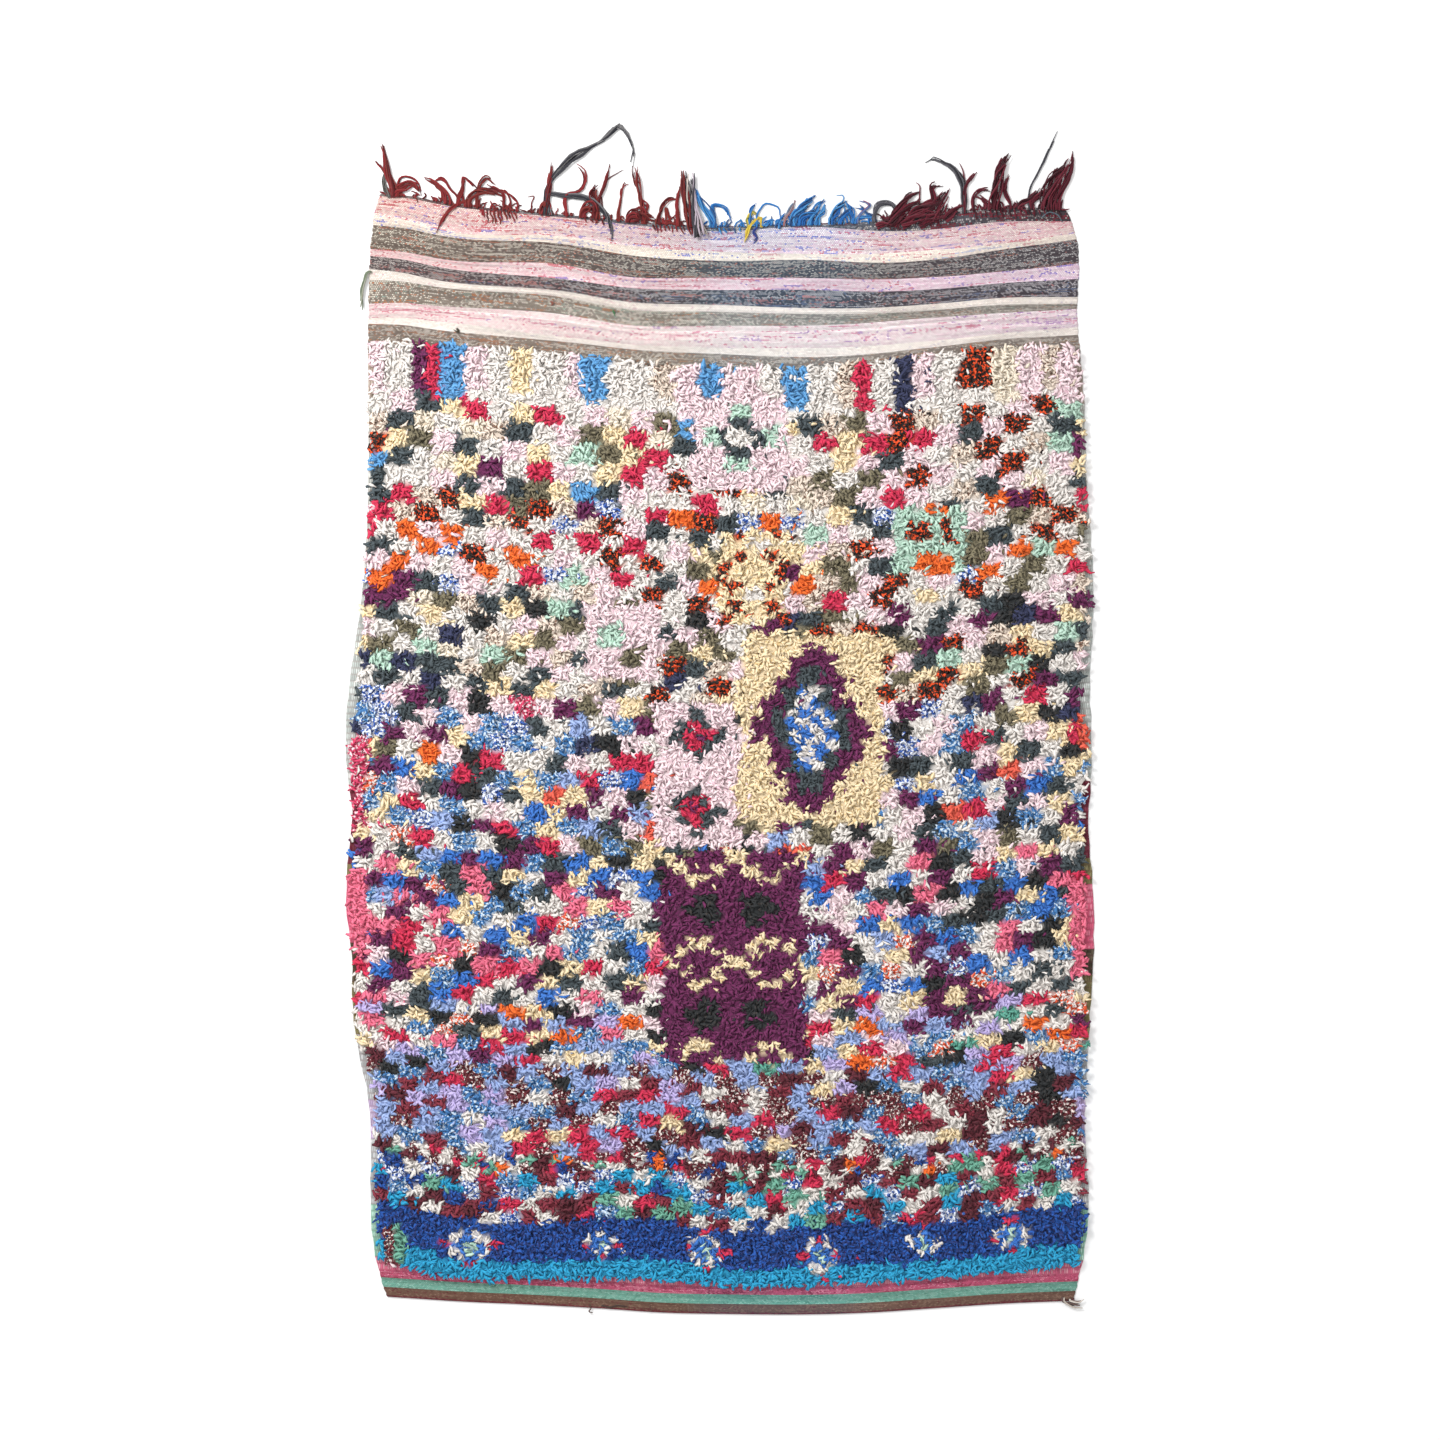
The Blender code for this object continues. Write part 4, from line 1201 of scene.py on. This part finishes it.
def pile_knots(rim, chance):
    """Where every knot of the pile is tied, its rag's number, and where it lies in its check."""
    span = rim["low"][-1, 0] - rim["low"][0, 0]
    columns, rows = round(span / KNOT_PITCH[0]), round(PILE_LENGTH / KNOT_PITCH[1])
    share, rise = np.meshgrid((np.arange(columns) + 0.5) / columns, (np.arange(rows) + 0.5) / rows)
    share = share + np.where(np.arange(rows) % 2, 0.25, -0.25)[:, None] / columns
    low, high = end_line(rim["low"], share), end_line(rim["high"], share)
    along = low + (high - low) * rise
    across = across_rim(rim, share, along)
    across = across + chance.normal(0, KNOT_STRAY[0], across.shape)
    along = along + chance.normal(0, KNOT_STRAY[1], along.shape)
    return across, along, *choose_rags(chance, across, along, rise * PILE_LENGTH)


def rag_strips(across, along, rag, from_middle, chance):
    """Every rag of the pile: its path, half width, half thickness, roll, rag's number and tone.

    Each knot shows three rags. A rag lies over its knot at a random bearing, drawn a little away from
    its check's middle: it comes up out of the pile, arches over its crest and ends at a blunt tip.
    """
    across, along, rag = (np.repeat(grid, RAGS_TO_A_KNOT) for grid in (across, along, rag))
    from_middle = np.repeat(from_middle.reshape(-1, 2), RAGS_TO_A_KNOT, axis=0)
    count = len(across)
    stray = chance.random(count) < STRAY_SHARE
    rag[stray] = np.roll(rag, 9)[stray]
    bearing = chance.uniform(0, 2 * math.pi, count)
    heading = unit(np.stack([np.cos(bearing), np.sin(bearing)], axis=-1) + OUTWARD_PULL * from_middle)
    dome = CHECK_DOME * (1 - from_middle[:, 0] ** 2) * (1 - from_middle[:, 1] ** 2)
    length = chance.uniform(*RAG_LENGTH, count)[:, None]
    crest = chance.uniform(*RAG_CREST, count) + dome
    tip = chance.uniform(*RAG_TIP, count) + dome
    foot = crest * chance.uniform(*RAG_FOOT, count)
    height = CLOTH_THICK + np.stack([foot, crest, tip], axis=1)
    ones = np.ones(count)
    behind, ahead = RAG_REACH
    level = length * np.stack([behind * ones, chance.uniform(-0.05, 0.15, count), ahead * ones], axis=1)
    start = np.stack([across, along], axis=-1) + chance.normal(0, RAG_STRAY, (count, 2))
    sway = chance.normal(0, RAG_BEND, count)[:, None] * np.array([0.0, 1.0, 0.0]) * length
    flat = (start[:, None, :] + heading[:, None, :] * level[..., None]
            + leftward(heading)[:, None, :] * sway[..., None])
    paths = np.concatenate([flat, height[..., None]], axis=-1)
    taper = np.stack([RAG_ROOT_WIDTH * ones, ones, chance.uniform(*RAG_TIP_WIDTH, count)], axis=1)
    half_width = chance.uniform(*RAG_WIDTH, count)[:, None] / 2 * taper
    half_thick = chance.uniform(*RAG_THICK, count)[:, None] / 2
    roll = chance.normal(0, RAG_ROLL[0], count)[:, None] + chance.normal(0, RAG_ROLL[1], (count, 3))
    return paths, half_width, half_thick, roll, rag, chance.random(count)


def packed_feet(across, along, chance):
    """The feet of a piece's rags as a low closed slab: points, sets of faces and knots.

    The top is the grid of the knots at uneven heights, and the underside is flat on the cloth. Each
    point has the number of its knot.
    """
    rows, columns = across.shape
    floor = CLOTH_THICK + 0.3
    top = np.stack([across, along, floor + chance.uniform(*FEET_RISE, across.shape)], axis=-1)
    top = top.reshape(-1, 3)
    number = np.arange(rows * columns).reshape(rows, columns)
    grid = np.stack([number[:-1, :-1], number[:-1, 1:], number[1:, 1:], number[1:, :-1]], axis=-1)
    rim = np.concatenate([number[0], number[1:, -1], number[-1, -2::-1], number[-2:0:-1, 0]])
    feet = top[rim] * (1, 1, 0) + (0, 0, floor)
    foot = rows * columns + np.arange(len(rim))
    walls = np.stack([foot, np.roll(foot, -1), np.roll(rim, -1), rim], axis=-1)
    right, left = foot[columns - 1:columns + rows - 1], np.roll(foot, -1)[:-rows - 1:-1]
    under = np.stack([left[1:-2], left[2:-1], right[2:-1], right[1:-2]], axis=-1)
    low_end = np.concatenate([left[1:2], right[1:2], foot[columns - 1::-1]])[None]
    upper = foot[columns + rows - 2:2 * columns + rows - 2]
    high_end = np.concatenate([right[-2:-1], left[-2:-1], upper[::-1]])[None]
    face_sets = [np.concatenate([grid.reshape(-1, 4), walls, under]), low_end, high_end]
    return np.concatenate([top, feet]), face_sets, np.concatenate([number.ravel(), rim])


def rag_pile(rim, material):
    """The pile as strips of triangular section over their packed feet, in pieces that each run the
    pile's whole length."""
    chance = np.random.default_rng(PILE_SEED)
    across, along, rag, from_middle = pile_knots(rim, chance)
    strips = rag_strips(across, along, rag, from_middle, chance)
    steps, sides = len(RAG_LIES), len(RAG_OUTLINE)
    each = steps * sides
    cloths, prints, shares = zip(*RAGS.values())
    rag_colours = np.array([washed(cloth, share) for cloth, share in zip(cloths, shares)])
    print_colours = np.array([washed(printed) for printed in prints])
    rows, columns = across.shape
    column_of = np.repeat(np.tile(np.arange(columns), rows), RAGS_TO_A_KNOT)
    cuts = np.linspace(0, columns, PILE_PIECES + 1).astype(int)
    pieces = []
    for i, (first, last) in enumerate(zip(cuts, cuts[1:]), start=1):
        own = (column_of >= first) & (column_of < last)
        paths, half_width, half_thick, roll, rags, tone = (grid[own] for grid in strips)
        count = len(paths)
        points = carry(paths, half_width, half_thick, RAG_OUTLINE, roll).reshape(-1, 3)
        points[:, 2] = np.maximum(points[:, 2], 0.5)
        walls, caps = strip_faces(count, steps, sides)
        reach = slice(first, min(last + 1, columns))
        wide = reach.stop - first
        feet, feet_faces, knot = packed_feet(across[:, reach], along[:, reach], chance)
        feet_sets = [faces + len(points) for faces in feet_faces]
        # A rag's first wall is its underside, which stays crisp, so that only its top is shaded round.
        is_top = np.tile(np.arange(sides) > 0, count * (steps - 1))
        is_foot = np.ones(sum(len(faces) for faces in feet_faces), bool)
        smooth = np.concatenate([is_top, np.zeros(len(caps), bool), is_foot])
        obj = add_piece(f"rag_pile_{i}", np.concatenate([points, feet]), [walls, caps, *feet_sets],
                        material, smooth)
        numbers = np.concatenate([np.repeat(rags, each), rag[:, reach].ravel()[knot]])
        paint(obj, "rag", rag_colours[numbers])
        printed = print_colours[numbers]
        printed[:, 3] = np.concatenate([np.repeat(tone, each), np.full(len(feet), FEET_TONE)])
        paint(obj, "print", printed)
        # The lie paints shade into the colour: darker down towards the knots, and on the feet.
        lie = np.tile(np.repeat(RAG_LIES, sides), count)
        paint(obj, "lie", np.concatenate([lie, np.full(len(feet), FEET_SHADE_LIE)]))
        # The strips' cells take up the lower part of the map for baking, and the feet what is left.
        spare = 0.98 - STRIPS_SHARE
        up = STRIPS_SHARE + 0.01 + spare * (knot % wide) / wide
        place = np.stack([(knot // wide + 0.5) / rows, up], axis=-1)
        lay_map(obj, "OFBake", np.concatenate([strip_map(count, steps, sides) * (1, STRIPS_SHARE),
                                               place[corners_of(feet_faces)]]))
        pieces.append(obj)
    return pieces


def lock_yarns(locks, edge, chance):
    """Paths and half widths of the yarns of some locks, with the number of each yarn's lock.

    A lock runs along the smooth curve through its points. A yarn keeps its own place in the lock's
    flattened section, which turns slowly as it runs. It frays aside towards the tip, and lies on the
    cloth where it is inside the cloth's edge.
    """
    paths, widths, owner = [], [], []
    for number, lock in enumerate(locks):
        count, table = lock[0], np.array(lock[1], float)
        root = edge_over(edge, table[0, 0])
        if table[0, 1] > root - 2:
            table = np.concatenate([[(table[0, 0], root - 5, table[0, 2])], table])
        run = run_along(table[:, :2])
        reach = np.linspace(1, SHORTEST_YARN, count)[:, None] * np.linspace(0, 1, YARN_STEPS)
        at = reach * run[-1]
        middle = np.stack([smooth_through(at, run, table[:, i]) for i in (0, 1)], axis=-1) + MIDDLE
        aside = leftward(unit(np.gradient(middle, axis=1)))
        thick = chance.uniform(*YARN_WIDTH, count)[:, None]
        width = LOCK_SPREAD * smooth_through(at, run, table[:, 2])
        turn = chance.uniform(0, 2 * math.pi, count)[:, None]
        turn = turn + chance.uniform(*LOCK_TWIST, count)[:, None] * reach
        radius = np.sqrt(chance.uniform(0, 1, count))[:, None] * np.maximum(width - thick, 0) / 2
        fray = chance.normal(0, LOCK_FRAY, (count, 1, 2)) * (count > 1)
        wave = chance.normal(0, YARN_WAVE, (count, 1)) * np.sin(turn * 1.7 + at / 9)
        flat = middle + aside * (radius * np.cos(turn) + wave)[..., None] + fray * reach[..., None] ** 3
        over = np.interp(flat[..., 0], edge[:, 0], edge[:, 1]) - flat[..., 1]
        height = 0.5 * thick + LOCK_FLATNESS * radius * (1 + np.sin(turn))
        height = height + (CLOTH_THICK + 0.6) * np.clip(over / 6 + 0.5, 0, 1)
        paths.append(np.concatenate([flat, height[..., None]], axis=-1))
        widths.append(thick / 2 * np.interp(reach, *YARN_TAPER))
        owner.append(np.full(count, number))
    return np.concatenate(paths), np.concatenate(widths), np.concatenate(owner)


def fuzz_locks(stretches, edge, chance):
    """Short loose ends between the locks, each as a lock of one yarn that bends over as it runs."""
    locks = []
    for first, last, count, longest in stretches:
        draws = (chance.uniform(first, last, count), chance.uniform(0.35, 1, count) * longest,
                 chance.normal(0, 0.6, count), chance.normal(0, 1.3, count))
        for root, length, lean, bend in zip(*draws):
            places = [np.array([root, edge_over(edge, root) - 2])]
            for bearing in lean + bend * np.arange(4) / 3:
                places.append(places[-1] + length / 4 * np.array([np.sin(bearing), np.cos(bearing)]))
            locks.append((1, [(*place, THIN_LOCK) for place in places]))
    return locks


def bare_locks(stretches, edge, chance):
    """Bare warp ends on the cloth, each as a lock of one yarn that slants a little as it runs in."""
    locks = []
    for first, last, count, begin, end in stretches:
        draws = (np.linspace(first, last, count), chance.uniform(0.1, 0.5, count),
                 chance.uniform(0.55, 1, count) * end)
        for root, lean, reach in zip(*draws):
            top = edge_over(edge, root)
            locks.append((1, [(root + lean * depth, top - depth, THIN_LOCK)
                              for depth in np.linspace(begin, reach, 4)]))
    return locks


def yarn_piece(name, paths, half_width, shades, material):
    """Closed yarns of round section as one piece, with their ply's twist laid out in a UV map."""
    turn = np.arange(YARN_SIDES) * 2 * math.pi / YARN_SIDES
    count, steps = paths.shape[:2]
    points = carry(paths, half_width, half_width, np.stack([np.cos(turn), np.sin(turn)], axis=-1))
    points[..., 2] = np.maximum(points[..., 2], 0.15)
    walls, caps = strip_faces(count, steps, YARN_SIDES)
    obj = add_piece(name, points.reshape(-1, 3), [walls, caps], material)
    paint(obj, "yarn", np.repeat(shades, steps * YARN_SIDES, axis=0))
    lay_map(obj, "OFBake", strip_map(count, steps, YARN_SIDES))
    twist = wall_map(np.arange(YARN_SIDES + 1) / YARN_SIDES, run_along(paths) / PLY_TWIST)
    lay_map(obj, "twist", np.concatenate([twist, np.zeros((caps.size, 2))]))
    return obj


def loose_yarns(name, locks, edge, chance, material):
    """A piece of locks that each name their own yarn colours."""
    paths, widths, owner = lock_yarns(locks, edge, chance)
    names = [locks[number][2] for number in owner]
    shades = linears(own[i % len(own)] for i, own in enumerate(names))
    return yarn_piece(name, paths, widths, shades, material)


def light_and_camera():
    """A pale floor, one large soft light at the upper left, an even fill, and the view from above."""
    scene = bpy.context.scene
    floor_material, _, shader = new_material("pale_studio_floor")
    shader.inputs["Base Color"].default_value = (FLOOR_GREY, FLOOR_GREY, FLOOR_GREY, 1)
    shader.inputs["Roughness"].default_value = 0.9
    corners = np.array([(-1, -1, 0), (1, -1, 0), (1, 1, 0), (-1, 1, 0)]) * FLOOR_HALF + (0, 0, -FLOOR_DROP)
    floor = add_piece("studio_floor", corners, [np.array([[0, 1, 2, 3]])], floor_material)

    world = bpy.data.worlds.new("studio")
    world.use_nodes = True
    world.node_tree.nodes["Background"].inputs["Color"].default_value = (1, 1, 1, 1)
    world.node_tree.nodes["Background"].inputs["Strength"].default_value = FILL
    scene.world = world

    key = bpy.data.lights.new("soft_key", "AREA")
    key.shape = "DISK"
    key.size = KEY_SIZE
    key.energy = KEY_WATTS
    lamp = bpy.data.objects.new("soft_key", key)
    lamp.location = KEY_PLACE
    lamp.rotation_euler = (-lamp.location).to_track_quat("-Z", "Y").to_euler()
    scene.collection.objects.link(lamp)

    lens = bpy.data.cameras.new("overhead")
    lens.lens = LENS
    lens.sensor_width = SENSOR
    lens.clip_end = 100.0
    camera = bpy.data.objects.new("overhead", lens)
    camera.location = np.array((*PICTURE_MIDDLE, LENS / SENSOR * PICTURE_SPAN)) * MM
    scene.collection.objects.link(camera)
    scene.camera = camera
    scene.view_settings.view_transform = "Standard"


def main():
    ground_rim, pile_rim = rim_of("woven_ground"), rim_of("rag_pile")
    edge = ground_rim["high"]
    light_and_camera()

    cloth = woven_cloth(ground_rim, flat_weave())
    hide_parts("woven_ground")

    pile = rag_pile(pile_rim, rag_cotton())
    for piece in pile:
        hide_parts("rag_pile")

    wool = wool_yarn()
    chance = np.random.default_rng(FRINGE_SEED)
    yarns = []
    for name, fuzz in FUZZ.items():
        short = [*fuzz_locks(fuzz, edge, chance), *bare_locks(BARE_WARPS[name], edge, chance)]
        paths, widths, owner = lock_yarns([*LOCKS[name], *short], edge, chance)
        colours = linears(YARN_COLOURS[name])
        shades = colours[chance.integers(len(colours), size=len(owner))]
        ends = yarn_piece(f"{name}_warp_ends", paths, widths, shades, wool)
        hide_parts(f"fringe_{name}")
        yarns.append(ends)
    loose = {
        "lone_ends": (*LOCKS["lone"], *THREADS),
        "selvedge_tail": (SELVEDGE_TAIL,),
        "corner_tail_1": CORNER_TAILS[:1],
        "corner_tail_2": CORNER_TAILS[1:],
    }
    for name, locks in loose.items():
        ends = loose_yarns(f"{name}_yarn", locks, edge, chance, wool)
        if name != "lone_ends":
            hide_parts(name)
        yarns.append(ends)
    for piece in (cloth, *pile, *yarns):
        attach(piece, "root")


main()
